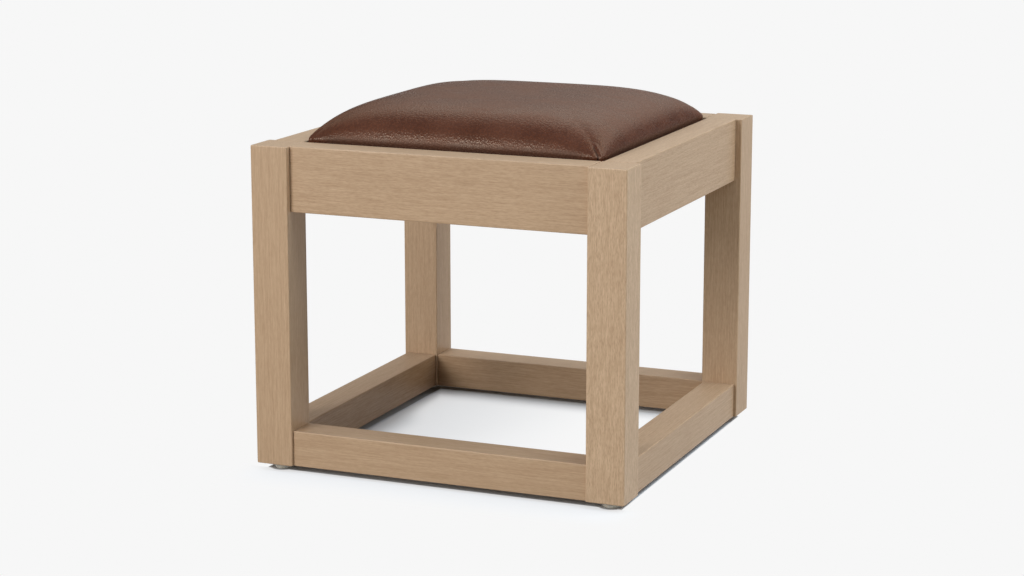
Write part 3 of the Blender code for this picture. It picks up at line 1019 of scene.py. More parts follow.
@dataclass
class BeechFrame:
    """The cube: legs, rails and stretchers, with the tenons and blocks that join them."""

    palette: Palette
    edge: float = 0.0013
    end_edge: float = 0.0004
    fit: float = 0.0003
    mortise_relief: float = 0.0008
    nail_hole: float = 0.0017
    cutter_reach: float = 0.05
    block_edge: float = 0.0012
    cuts: dict[str, Cut] = field(default_factory=lambda: {
        "leg_front_left": Cut((0.07, 0.05), 0.0, 0.38),
        "leg_front_right": Cut((0.012, 0.085), 0.9, 0.95, -0.58),
        "leg_back_right": Cut((-0.09, 0.04), 1.7, 0.5),
        "leg_back_left": Cut((0.05, -0.10), 2.6, 0.5),
        "rail_front": Cut((0.075, 0.030), 3.1, 0.55),
        "rail_right": Cut((0.02, -0.11), 3.9, 0.6),
        "rail_back": Cut((-0.08, 0.05), 4.6, 0.4),
        "rail_left": Cut((0.03, 0.09), 5.4, 0.4),
        "stretcher_front": Cut((0.10, 0.02), 6.2, 0.4),
        "stretcher_right": Cut((0.05, -0.08), 7.1, 0.4),
        # The back and left stretchers: a deeper tone as painted shade, and a paler top as painted light
        "stretcher_back": Cut((0.07, -0.05), 7.7, 0.4, 0.5, -1.3),
        "stretcher_left": Cut((-0.06, -0.09), 8.4, 0.4, 0.8, -1.1),
    })

    def build(self) -> None:
        """Builds and dresses every piece of the frame."""
        for corner in CORNERS:
            self._leg(corner)
        for side in SIDES:
            axis = axis_of(side)
            self._member("rail", side, axis)
            self._member("stretcher", side, axis)
        self._dress_hidden_wood()

    def _tenons(self, node: str) -> list[str]:
        """Lists the tenons that reach into a member, by their boxes.

        Args:
            node: The member's node.

        Returns:
            The tenons' names.
        """
        low, high = corners_of(node)
        names = [f"tenon_{kind}_{side}_{end}" for kind in ("rail", "stretcher")
                 for side in SIDES for end in SIDES]
        found = []
        for name in names:
            if name not in bpy.data.objects:
                continue
            first, last = corners_of(name)
            if np.all(first < high) and np.all(last > low):
                found.append(name)
        return found

    def _store_grain(self, piece: Object, node: str, axis: Axis) -> None:
        """Stores where each point lay in the log, how near it is to an eased edge, its flecks and its tone.

        The grain place is the point's (along, a, b) less the heart's offset. The edge share is 1
        where the point lies inside the easing of two sides at once, and 0 on a flat. The tone is the
        cut's, with its top added on the highest points as painted light, and 0 on the ends.

        Args:
            piece: The member's object.
            node: The node that it stands for.
            axis: The way its grain runs.
        """
        low, high = local_corners(node, axis)
        points = read_points(piece.data)
        local = axis.local(points)
        cut = self.cuts[node]
        middle = (low + high) / 2
        origin = np.array([middle[0] - cut.shift, middle[1] + cut.heart[0], middle[2] + cut.heart[1]])
        depth = np.minimum(local - low, high - local)
        near = np.sort(depth[:, 1:], axis=1)[:, 1]
        # The top adds paler wood on the upper face: painted light
        painted_top = points[:, 2] > points[:, 2].max() - 0.1 * self.edge
        tone = cut.tone + cut.top * painted_top
        store(piece.data, "grain", local - origin)
        store(piece.data, "edge", smooth_step(self.edge, 0.3 * self.edge, near))
        store(piece.data, "fleck", np.full(len(local), cut.flecks))
        store(piece.data, "tone", tone * smooth_step(0.0, self.end_edge, depth[:, 0]))

    def _finish_member(self, piece: Object, row: Piece, node: str, axis: Axis) -> None:
        """Stores the grain and evens the normals, so that flats shade flat between their eased edges.

        Args:
            piece: The member's object.
            row: Its piece.
            node: The node that it stands for.
            axis: The way its grain runs.
        """
        self._store_grain(piece, node, axis)
        even = piece.modifiers.new("flat_sides", "WEIGHTED_NORMAL")
        even.keep_sharp = True
        even.weight = 100
        row.fit(piece)

    def _eased(self, node: str, rings: list[Array], axis: Axis) -> Piece:
        """Joins a member's rings into a closed piece that stands for its node.

        Args:
            node: The member's node.
            rings: Its rings, as (along, a, b).
            axis: The way it runs.

        Returns:
            The piece, not yet built.
        """
        points = axis.place(np.stack(rings))
        faces = loft_faces(*points.shape[:2])
        return Piece(f"{node}_eased", points, faces, [self.palette.beech], "beech", FRAME_BODY, (node,))

    def _member(self, kind: str, side: str, axis: Axis) -> None:
        """Builds a rail or stretcher as rings from one mortise's bottom over both ends to the other's.

        Args:
            kind: rail or stretcher.
            side: The side of the cube.
            axis: The way it runs.
        """
        node = f"{kind}_{side}"
        low, high = local_corners(node, axis)
        middle = tuple((low + high)[1:] / 2)
        half = tuple((high - low)[1:] / 2)
        slim = tuple(value - self.end_edge for value in half)
        mortises = [local_corners(name, axis) for name in self._tenons(node)]
        mortises.sort(key=lambda pair: pair[0][0])
        (first_low, first_high), (last_low, _) = mortises
        slot_half = tuple((first_high - first_low)[1:] / 2 + self.fit)
        slot = (slot_half, min(slot_half), tuple((first_low + first_high)[1:] / 2))
        end = (slim, self.edge - self.end_edge, middle)
        full = (half, self.edge, middle)
        path = [
            (first_high[0] + self.mortise_relief, slot), (low[0], slot), (low[0], end),
            (low[0] + self.end_edge, full), (high[0] - self.end_edge, full),
            (high[0], end), (high[0], slot), (last_low[0] - self.mortise_relief, slot),
        ]
        row = self._eased(node, [eased_ring(along, *section) for along, section in path], axis)
        self._finish_member(row.build(), row, node, axis)

    def _leg(self, corner: str) -> None:
        """Builds a leg as rings from the nail hole over the foot to the top, and cuts its mortises.

        Args:
            corner: The corner of the cube.
        """
        node = f"leg_{corner}"
        axis = Axis.Z
        low, high = local_corners(node, axis)
        nail_top = corners_of(f"glide_nail_{corner}")[1][2]
        middle = tuple((low + high)[1:] / 2)
        half = np.array((high - low)[1:] / 2)
        hole = (self.nail_hole, self.nail_hole)
        rings = [
            eased_ring(nail_top + self.mortise_relief, hole, self.nail_hole, middle),
            eased_ring(low[0], hole, self.nail_hole, middle),
        ]
        easing = np.linspace(0, math.pi / 2, 5)
        for end, inward, turns in ((low[0], 1, easing), (high[0], -1, easing[::-1])):
            for turn in turns:
                inset = self.edge * (1 - math.sin(turn))
                along = end + inward * self.edge * (1 - math.cos(turn))
                rings.append(eased_ring(along, tuple(half - inset), self.edge, middle))
        row = self._eased(node, rings, axis)
        piece = row.build()
        self._cut_mortises(piece, node, np.append(middle, 0))
        self._finish_member(piece, row, node, axis)

    def _cut_mortises(self, piece: Object, node: str, middle: Array) -> None:
        """Cuts a round-ended mortise for each tenon that reaches into a leg.

        Args:
            piece: The leg's object.
            node: The leg's node.
            middle: The leg's middle, as (x, y, 0).
        """
        for name in self._tenons(node):
            axis = axis_of(name.split("_")[2])
            low, high = local_corners(name, axis)
            inward = np.sign((low + high)[0] / 2 - axis.local(middle)[0])
            deep = low[0] if inward > 0 else high[0]
            ends = sorted((deep - inward * self.mortise_relief, deep + inward * self.cutter_reach))
            half = tuple((high - low)[1:] / 2 + self.fit)
            rings = [eased_ring(end, half, min(half), tuple((low + high)[1:] / 2)) for end in ends]
            points = axis.place(np.stack(rings))
            cutter = Piece("cutter", points, loft_faces(2, points.shape[1]), [], "", "").build()
            cut = piece.modifiers.new("mortise", "BOOLEAN")
            cut.operation = "DIFFERENCE"
            cut.object = cutter
            apply_modifiers(piece)
            bpy.data.objects.remove(cutter)
        piece.data.set_sharp_from_angle(angle=math.radians(SHARP_ANGLE))

    def _dress_hidden_wood(self) -> None:
        """Gives the CAD tenons and corner blocks their bare wood."""
        for name, node in bpy.data.objects.items():
            if name.startswith("tenon_"):
                axis = axis_of(name.split("_")[2])
                dress(node, self.palette.tenon[axis])
            if name.startswith("corner_block_"):
                dress(node, self.palette.block)
                ease(node, self.block_edge)


@dataclass
class Hardware:
    """Glides, their nails, and the screws of the corner blocks."""

    palette: Palette
    turn_steps: int = 48
    screw_steps: int = 24
    neck: float = 0.009
    core: float = 0.0014
    thread_pitch: float = 0.0022
    thread_depth: float = 0.0006
    thread_rows: int = 72
    socket: float = 0.0016
    socket_depth: float = 0.0019
    head_depth: float = 0.0028
    head_round: float = 0.0008
    socket_rim: float = 1.25
    thread_width: float = 0.3
    screw_point: float = 0.004
    screw_runout: float = 0.005
    point_thinning: float = 0.6
    neck_extra: float = 0.0003
    neck_end: float = 0.0005
    socket_bevel: float = 0.0003
    fine_edge: float = 0.0002
    nail_shank: float = 0.0014
    nail_fit: float = 0.0002
    nail_head: float = 0.0016
    nail_dome: float = 0.0008
    nail_point: float = 0.003
    point_share: float = 0.95
    head_fit: float = 0.0003
    head_pocket: float = 0.0026
    grip_start: float = 0.001
    grip_end: float = 0.0035
    grip_rows: int = 40
    grip_depth: float = 0.00012
    grip_pitch: float = 0.0012
    glide_round: float = 0.0014
    glide_bevel: float = 0.0004

    def build(self) -> None:
        """Builds and dresses every small piece."""
        for corner in CORNERS:
            self._glide(corner)
            self._nail(corner)
            for mark in ("a", "b"):
                self._screw(f"block_screw_{corner}_{mark}")

    def _glide(self, corner: str) -> None:
        """Builds a glide: a closed profile with a nail hole and a pocket for its head, turned round its axis.

        Args:
            corner: The corner of the cube.
        """
        node = f"glide_{corner}"
        low, high = corners_of(node)
        nail_low, nail_high = corners_of(f"glide_nail_{corner}")
        middle = (low + high) / 2
        outer = (high - low)[0] / 2
        shank = self.nail_shank + self.nail_fit
        head = (nail_high - nail_low)[0] / 2 + self.head_fit
        ledge = low[2] + self.head_pocket
        turn = np.linspace(0, math.pi / 2, 6)
        soft = self.glide_round
        bevel = self.glide_bevel
        foot_r = outer - soft + soft * np.sin(turn)
        foot_z = low[2] + soft - soft * np.cos(turn)
        radii = np.concatenate([[shank, head, head, head + bevel], foot_r, [outer, outer - bevel, shank]])
        heights = np.concatenate([
            [ledge, ledge, low[2] + self.head_fit, low[2]], foot_z, [high[2] - bevel, high[2], high[2]],
        ])
        rings = turned_rings(radii, heights, tuple(middle[:2]), self.turn_steps)
        # One ring more, counted round to the first, closes the profile
        faces = np.array(loft_faces(len(rings) + 1, self.turn_steps, False))
        faces = (faces % (len(rings) * self.turn_steps)).tolist()
        row = Piece(f"{node}_turned", rings, faces, [self.palette.nylon], "nylon", FRAME_BODY, (node,))
        row.fit(row.build())

    def _nail(self, corner: str) -> None:
        """Builds a nail: a domed head, a shank with shallow rings, and a point, turned round its axis.

        Args:
            corner: The corner of the cube.
        """
        node = f"glide_nail_{corner}"
        low, high = corners_of(node)
        middle = (low + high) / 2
        head = (high - low)[0] / 2
        shank = self.nail_shank
        under = low[2] + self.nail_head
        dome = np.linspace(0.05, math.pi / 2, 6)
        grip = np.linspace(under + self.grip_start, high[2] - self.grip_end, self.grip_rows)
        wave = 0.5 + 0.5 * np.cos(2 * math.pi * (grip - under) / self.grip_pitch)
        ringed = shank - self.grip_depth * wave
        radii = np.concatenate([
            head * np.sin(dome), [head, shank], ringed, [shank * self.point_share, self.fine_edge],
        ])
        heights = np.concatenate([
            low[2] + self.nail_dome * (1 - np.cos(dome)), [under, under], grip,
            [high[2] - self.nail_point, high[2]],
        ])
        rings = turned_rings(radii, heights, tuple(middle[:2]), self.screw_steps)
        faces = loft_faces(len(rings), self.screw_steps)
        row = Piece(f"{node}_ringed", rings, faces, [self.palette.steel], "zinc_steel", FRAME_BODY, (node,))
        row.fit(row.build())

    def _screw(self, node: str) -> None:
        """Builds a wood screw as rings round its axis, from the socket's bottom over the head to the point.

        The socket's radius is that of a hexagon. On the thread the radius rises from the core in a
        triangle wave of (distance / pitch - turn / full turn), fading in at the neck and out at the
        point.

        Args:
            node: The screw's node.
        """
        low, high = corners_of(node)
        axis = Axis(int(np.argmax(high - low)))
        low, high = axis.local(low), axis.local(high)
        outward = 1.0 if abs(high[0]) > abs(low[0]) else -1.0
        start = low[0] if outward > 0 else high[0]
        length = high[0] - low[0]
        head = (high - low)[1] / 2
        middle = (low + high) / 2
        turn = np.linspace(0, 2 * math.pi, self.screw_steps, endpoint=False)
        hexagon = self.socket / np.cos((turn + math.pi / 6) % (math.pi / 3) - math.pi / 6)
        edge = np.linspace(0, math.pi / 2, 5)
        point = length - self.screw_point
        along = np.linspace(self.neck, point, self.thread_rows)
        wave = (along[:, None] / self.thread_pitch - turn / (2 * math.pi)) % 1
        ridge = np.clip(1 - np.abs(wave - 0.5) / self.thread_width, 0, 1)
        grip = smooth_step(self.neck, self.neck + self.thread_pitch, along)
        grip = grip * (1 - self.point_thinning * smooth_step(point - self.screw_runout, point, along))
        thread = self.core + self.thread_depth * ridge * grip[:, None]
        rounds = np.concatenate([
            [self.socket * self.socket_rim], head - self.head_round * (1 - np.sin(edge)),
            [head, head - self.fine_edge], [self.core + self.neck_extra] * 2,
        ])
        places = np.concatenate([
            [0.0], self.head_round * (1 - np.cos(edge)), [self.head_depth - self.fine_edge, self.head_depth],
            [self.head_depth, self.neck - self.neck_end],
        ])
        plain = np.broadcast_to(rounds[:, None], (len(rounds), self.screw_steps))
        tip = np.full((1, self.screw_steps), self.fine_edge)
        radii = np.concatenate([[hexagon, hexagon], plain, thread, tip])
        steps = np.concatenate([[self.socket_depth, self.socket_bevel], places, along, [length]])
        rings = np.stack([
            np.broadcast_to((start + outward * steps)[:, None], radii.shape),
            middle[1] + outward * radii * np.cos(turn),
            middle[2] + radii * np.sin(turn),
        ], axis=-1)
        faces = loft_faces(len(rings), self.screw_steps)
        row = Piece(f"{node}_threaded", axis.place(rings), faces, [self.palette.steel], "zinc_steel",
                    FRAME_BODY, (node,))
        row.fit(row.build())


@dataclass(frozen=True)
class CrownedForm:
    """A square pad with round corners, straight sides and a crown that is flat in the middle.

    The crown's height above its side at a ring share s (0 in the middle, 1 at the edge) and a share
    c across (the smaller of the two coordinates) is crown * ((1 - s^f) * (1 - c^g))^e, with f the
    flatness, g the corner flatness and e the shoulder.
    """

    half: float
    corner: float
    side_top: float
    bottom: float
    crown: float
    flatness: float = 5.65
    corner_flatness: float = 4.2
    shoulder: float = 0.488
    nose: float = 0.0
    nose_height: float = 0.0045
    nose_reach: float = 0.012
    tuck: float = 0.0
    tuck_reach: float = 0.010
    cells: int = 80
    crowding: float = 1.8
    foot_corner: float = 0.003
    least_corner: float = 0.0005
    side_rows: int = 6

    def stations(self) -> Array:
        """Gives grid stations from -1 to 1, closer together towards the edge."""
        even = np.linspace(-1, 1, self.cells + 1)
        return np.sign(even) * (1 - (1 - np.abs(even)) ** self.crowding)

    def lip(self, height: Array) -> Array:
        """Gives how far the side stands out at a height.

        At the crown's foot it is drawn in by the tuck. Above, it comes out on a quarter sine to the
        nose and fades on a smooth step. Below, the tuck fades on a smooth step.

        Args:
            height: The heights.

        Returns:
            The offsets, outwards.
        """
        above = np.asarray(height) - self.side_top
        share = np.sin(math.pi / 2 * np.clip(above / self.nose_height, 0, 1))
        rise = (self.nose + self.tuck) * share - self.tuck
        fade = self.nose * (1 - smooth_step(self.nose_height, self.nose_reach, above))
        under = -self.tuck * (1 - smooth_step(0, self.tuck_reach, -above))
        return np.where(above < 0, under, np.where(above < self.nose_height, rise, fade))

    def outline(self, across: Array, along: Array, half: float, corner: float) -> Array:
        """Carries the unit square's edge along rays from the middle onto a square with round corners.

        A ray with the smaller coordinate m meets the side at k = 1, or the corner's circle where
        m > 1 - corner / half, at the larger root k of the circle's equation.

        Args:
            across: x of the points, with the larger coordinate at 1.
            along: y of the points.
            half: Half the square's width.
            corner: The corners' radius.

        Returns:
            The points as (x, y).
        """
        small = np.minimum(np.abs(across), np.abs(along))
        inner = half - corner
        square = 1 + small ** 2
        reach = np.clip((inner * (1 + small)) ** 2 - square * (2 * inner ** 2 - corner ** 2), 0, None)
        factor = np.where(small > inner / half, (inner * (1 + small) + np.sqrt(reach)) / (half * square), 1)
        return np.stack([across * half * factor, along * half * factor], axis=-1)

    def dome(self) -> Array:
        """Gives the crown as a grid of points.

        Returns:
            The points, as rows and columns of (x, y, z).
        """
        across, along = np.meshgrid(self.stations(), self.stations(), indexing="ij")
        share = np.maximum(np.maximum(np.abs(across), np.abs(along)), 1e-9)
        edge = self.outline(across / share, along / share, self.half, self.corner)
        inner = share * np.min(np.abs(edge), axis=-1) / self.half
        rise = np.clip((1 - share ** self.flatness) * (1 - inner ** self.corner_flatness), 0, None)
        height = self.side_top + self.crown * rise ** self.shoulder
        out = np.clip(np.abs(edge) - (self.half - self.corner), 0, None) * np.sign(edge)
        out = out / np.maximum(np.linalg.norm(out, axis=-1, keepdims=True), 1e-9)
        plan = edge * share[..., None] + out * self.lip(height)[..., None]
        return np.concatenate([plan, height[..., None]], axis=-1)

    def border(self) -> tuple[Array, Array, Array]:
        """Gives the crown's outermost points, anticlockwise.

        Returns:
            Their numbers, and their x and y on the unit square.
        """
        count = self.cells + 1
        index = np.arange(count * count).reshape(count, count)
        loop = np.concatenate([index[:-1, 0], index[-1, :-1], index[:0:-1, -1], index[0, :0:-1]])
        station = self.stations()
        return loop, station[loop // count], station[loop % count]

    def ring(self, inset: float, corner: float, height: float) -> Array:
        """Gives one ring of the side or the foot.

        Args:
            inset: How far it lies inside the side.
            corner: Its corners' radius.
            height: Its height.

        Returns:
            The ring's points.
        """
        _, across, along = self.border()
        half = self.half - inset + float(self.lip(height))
        flat = self.outline(across, along, half, max(corner, self.least_corner))
        return np.column_stack([flat, np.full(len(flat), height)])

    def shell(self, foot: Foot, edge: float = 0.002, turn_under: float = 0.0) -> tuple[Array, Faces]:
        """Builds the crown, the sides and the foot.

        Args:
            foot: How the lower end is finished.
            edge: The radius of the lower edge.
            turn_under: How far the foot is turned in.

        Returns:
            The points and the faces.
        """
        rings = []
        for height in np.linspace(self.side_top, self.bottom + edge, self.side_rows + 1)[1:]:
            rings.append(self.ring(0.0, self.corner, height))
        if foot is not Foot.OPEN:
            for turn in np.linspace(0, math.pi / 2, 4)[1:]:
                inset = edge * (1 - math.cos(turn))
                rings.append(self.ring(inset, self.corner - inset, self.bottom + edge * (1 - math.sin(turn))))
        if foot is Foot.TURNED_UNDER:
            for share in (0.3, 0.65, 1.0):
                inset = edge + share * (turn_under - edge)
                corner = (self.corner - edge) * (1 - share) + self.foot_corner * share
                rings.append(self.ring(inset, corner, self.bottom))
        dome = self.dome().reshape(-1, 3)
        points = np.concatenate([dome] + rings)
        loop, _, _ = self.border()
        rows = len(dome) + np.arange(len(rings) * len(loop)).reshape(len(rings), len(loop))
        rows = np.concatenate([loop[None], rows])
        onward = np.roll(rows, -1, axis=1)
        walls = np.stack([rows[:-1], rows[1:], onward[1:], onward[:-1]], axis=-1).reshape(-1, 4)
        faces = grid_faces(self.cells + 1, self.cells + 1).tolist() + walls.tolist()
        if foot is Foot.FLAT:
            faces.append(rows[-1, ::-1].tolist())
        return points, faces


@dataclass(frozen=True)
class CornerFolds:
    """The leather cover's corner pleats, the roll beside each, and painted shade in the pleats and along the
    foot.

    A pleat's start and end are offsets from the corner in plan. Each pair of ends says between which
    distances a share rises.
    """

    # Painted shade along the foot: how dark it is made, and between which heights and corner distances
    foot_painted_shade: float = 0.48
    foot_ends: Pair = (0.002, 0.012)
    foot_corner: Pair = (0.012, 0.035)
    start: Pair = (-0.0175, 0.0139)
    end: Pair = (-0.0075, 0.0046)
    width: float = 0.0008
    depth: float = 0.0014
    # How dark each pleat's hollow is painted, as painted shade
    dark: float = 0.75
    fade: float = 0.006
    reach: Pair = (0.006, 0.018)
    least_height: float = 0.004
    roll_ends: Pair = (-0.005, 0.004)
    roll_at: float = 0.0036
    roll_width: float = 0.0021
    roll_height: float = 0.0017

    def press(self, points: Array, normals: Array, form: CrownedForm) -> tuple[Array, Array]:
        """Presses one pleat into each corner, with a soft roll on one side of it.

        Each pleat runs along a line in plan from inside the corner to its edge. A point moves along
        its normal by a narrow hollow on that line and a wider roll beside it, both fading in along
        the line. The hollow and the foot of the cover get painted shade.

        Args:
            points: The cover's points.
            normals: Their normals.
            form: The cover's form.

        Returns:
            The moved points, and how deep in a crease each one lies, from 0 to 1.
        """
        moved = points.copy()
        # Along its foot the leather is darkened as painted shade, less so towards the corners
        above = points[:, 2] - form.side_top
        first, last = self.foot_ends
        foot = (1 - smooth_step(first, last, above)) * smooth_step(-last, -first, above)
        from_corner = form.half - np.min(np.abs(points[:, :2]), axis=1)
        painted_shade = self.foot_painted_shade * foot * smooth_step(*self.foot_corner, from_corner)
        corner = np.array([form.half, -form.half])
        start = corner + np.array(self.start)
        end = corner + np.array(self.end)
        line = (end - start) / np.linalg.norm(end - start)
        close, far = self.reach
        for turn in range(4):
            angle = math.pi / 2 * turn
            way = np.array([[math.cos(angle), math.sin(angle)], [-math.sin(angle), math.cos(angle)]])
            plan = points[:, :2] @ way.T
            run = (plan - start) @ line
            side = (plan - start) @ np.array([-line[1], line[0]])
            near = (points[:, 2] > form.bottom + self.least_height) * smooth_step(-far, -close, -np.abs(side))
            fade = smooth_step(0.0, self.fade, run) * near
            narrow = np.exp(-((side / self.width) ** 2))
            wide = np.exp(-(((side - self.roll_at) / self.roll_width) ** 2))
            roll = self.roll_height * wide * smooth_step(*self.roll_ends, run) * near
            moved += normals * (roll - self.depth * fade * narrow)[:, None]
            # The pleat's hollow gets painted shade
            painted_shade = np.maximum(painted_shade, self.dark * fade * narrow)
        return moved, painted_shade


@dataclass
class DropInSeat:
    """The loose seat: board, foam, wrap, leather cover and dust cover."""

    palette: Palette
    corner: float = 0.012
    leather: float = 0.0014
    turn_under: float = 0.032
    wrap_thickness: float = 0.0079
    settle: float = 0.0010
    nose: float = 0.0005
    tuck: float = 0.0016
    swell: float = 0.0005
    pressure: float = 4.0
    cloth_frames: int = 20
    dust_thickness: float = 0.0005
    dust_sag: float = 0.0016
    even_passes: int = 24
    board_edge: float = 0.0006
    foam_corner: float = 0.006
    wrap_inset: float = 0.0017
    wrap_gap: float = 0.0002
    wrap_lump: float = 0.0003
    lump_waves: Triple = (210.0, 190.0, 230.0)
    lump_start: Triple = (0.0, 1.0, 0.0)
    dust_rows: int = 65

    @property
    def side_top(self) -> float:
        """Gives the height of the rail tops, where the crown starts."""
        return float(corners_of("leg_front_left")[1][2])

    def build(self) -> None:
        """Builds and dresses every piece of the seat."""
        self._cover()
        self._wrap()
        self._foam()
        dress(bpy.data.objects["seat_board"], self.palette.plywood)
        ease(bpy.data.objects["seat_board"], self.board_edge)
        self._dust_cover()

    def _form(self, node: str, corner: float, **sizes: Any) -> CrownedForm:
        """Makes the crowned form that fills a node's box.

        Args:
            node: The CAD node.
            corner: The corners' radius.
            sizes: Other sizes of the form.

        Returns:
            The form.
        """
        low, high = corners_of(node)
        return CrownedForm(
            half=float(high[0] - low[0]) / 2, corner=corner, side_top=self.side_top,
            bottom=float(low[2]), crown=float(high[2]) - self.side_top - self.settle, **sizes,
        )

    def _cover(self) -> None:
        """Builds the leather cover: swelled by cloth, refined once, folded at its corners, made thick."""
        form = self._form("seat_cover", self.corner, nose=self.nose, tuck=self.tuck)
        points, faces = form.shell(Foot.TURNED_UNDER, turn_under=self.turn_under)
        row = Piece(
            "seat_cover_leather", points, faces, [self.palette.leather, self.palette.flesh],
            "leather", SEAT_BODY, ("seat_cover",), sharp=180.0,
        )
        piece = row.build()
        self._inflate(piece, points, form)
        smooth = piece.modifiers.new("refine", "SUBSURF")
        smooth.levels = 1
        smooth.render_levels = 1
        apply_modifiers(piece)
        # The pleats are pressed in, and the share of painted shade along the foot and in the pleats is stored
        moved, painted_shade = CornerFolds().press(read_points(piece.data), read_normals(piece.data), form)
        write_points(piece.data, moved)
        store(piece.data, "painted_shade_share", painted_shade)
        thicken(piece, self.leather).material_offset = 1
        row.fit(piece)

    def _inflate(self, piece: Object, start: Array, form: CrownedForm) -> None:
        """Swells the crown a little with a short cloth run, its edge and foot held still.

        Args:
            piece: The cover's object.
            start: Its points before the run.
            form: Its form.
        """
        held = piece.vertex_groups.new(name="held")
        still = np.flatnonzero(start[:, 2] < self.side_top + form.nose_height)
        held.add(still.tolist(), 1.0, "REPLACE")
        cloth = piece.modifiers.new("swell", "CLOTH")
        cloth.settings.quality = 6
        cloth.settings.mass = 0.3
        cloth.settings.tension_stiffness = 18.0
        cloth.settings.compression_stiffness = 18.0
        cloth.settings.shear_stiffness = 8.0
        cloth.settings.bending_stiffness = 1.5
        cloth.settings.use_pressure = True
        cloth.settings.uniform_pressure_force = self.pressure
        cloth.settings.effector_weights.gravity = 0.0
        cloth.settings.vertex_group_mass = "held"
        cloth.collision_settings.use_collision = False
        cloth.point_cache.frame_start = 1
        cloth.point_cache.frame_end = self.cloth_frames
        scene = bpy.context.scene
        for frame in range(1, self.cloth_frames + 1):
            scene.frame_set(frame)
        graph = bpy.context.evaluated_depsgraph_get()
        moved = read_points(piece.evaluated_get(graph).data)
        piece.modifiers.clear()
        piece.vertex_groups.clear()
        scene.frame_set(1)
        normals = read_normals(piece.data)
        out = np.clip(np.sum((moved - start) * normals, axis=1), 0, None)
        LOG.info("cloth run: largest move %.1f mm", 1000 * out.max())
        capped = self.swell * np.tanh(out / self.swell)
        count = form.cells + 1
        crown = capped[:count * count].reshape(count, count)
        # The leather is too stiff for a sharp rim round the swelling, so it is evened over its neighbours
        for _ in range(self.even_passes):
            wide = np.pad(crown, 1)
            crown = (wide[:-2, 1:-1] + wide[2:, 1:-1] + wide[1:-1, :-2] + wide[1:-1, 2:] + 2 * crown) / 6
        capped[:count * count] = crown.ravel()
        write_points(piece.data, start + normals * capped[:, None])

    def _wrap(self) -> None:
        """Builds the wadding between foam and leather as a thick shell with an uneven outside."""
        corner = self.corner - self.wrap_inset
        form = self._form("foam_wrap", corner, nose=self.nose, tuck=self.tuck, cells=56)
        points, faces = form.shell(Foot.OPEN)
        row = Piece("foam_wrap_wadding", points, faces, [self.palette.wrap], "wrap", SEAT_BODY,
                    ("foam_wrap",), sharp=180.0)
        piece = row.build()
        lumps = np.prod(np.sin(points * np.array(self.lump_waves) + np.array(self.lump_start)), axis=1)
        dent = self.wrap_gap + self.wrap_lump * lumps[:, None] ** 2
        write_points(piece.data, points - read_normals(piece.data) * dent)
        thicken(piece, self.wrap_thickness)
        row.fit(piece)

    def _foam(self) -> None:
        """Builds the foam core, crowned above and cut flat below."""
        form = self._form("seat_foam", self.foam_corner, cells=48)
        points, faces = form.shell(Foot.FLAT, edge=0.001)
        row = Piece("seat_foam_core", points, faces, [self.palette.foam], "foam", SEAT_BODY, ("seat_foam",),
                    sharp=60.0)
        piece = row.build()
        row.fit(piece)

    def _dust_cover(self) -> None:
        """Builds the dust cover: a stretched sheet that hangs a little in the middle."""
        low, high = corners_of("dust_cover")
        half = (high - low)[0] / 2
        station = np.linspace(-1, 1, self.dust_rows)
        across, along = np.meshgrid(station, station, indexing="ij")
        hang = ((1 - across ** 2) * (1 - along ** 2)) ** 2
        height = high[2] - self.dust_sag * hang
        points = np.stack([across * half, along * half, height], axis=-1)
        faces = grid_faces(self.dust_rows, self.dust_rows)
        row = Piece("dust_cover_cloth", points, faces[:, ::-1].tolist(), [self.palette.dust], "dust_cloth",
                    SEAT_BODY, ("dust_cover",), sharp=60.0)
        piece = row.build()
        thicken(piece, self.dust_thickness, 1.0)
        row.fit(piece)


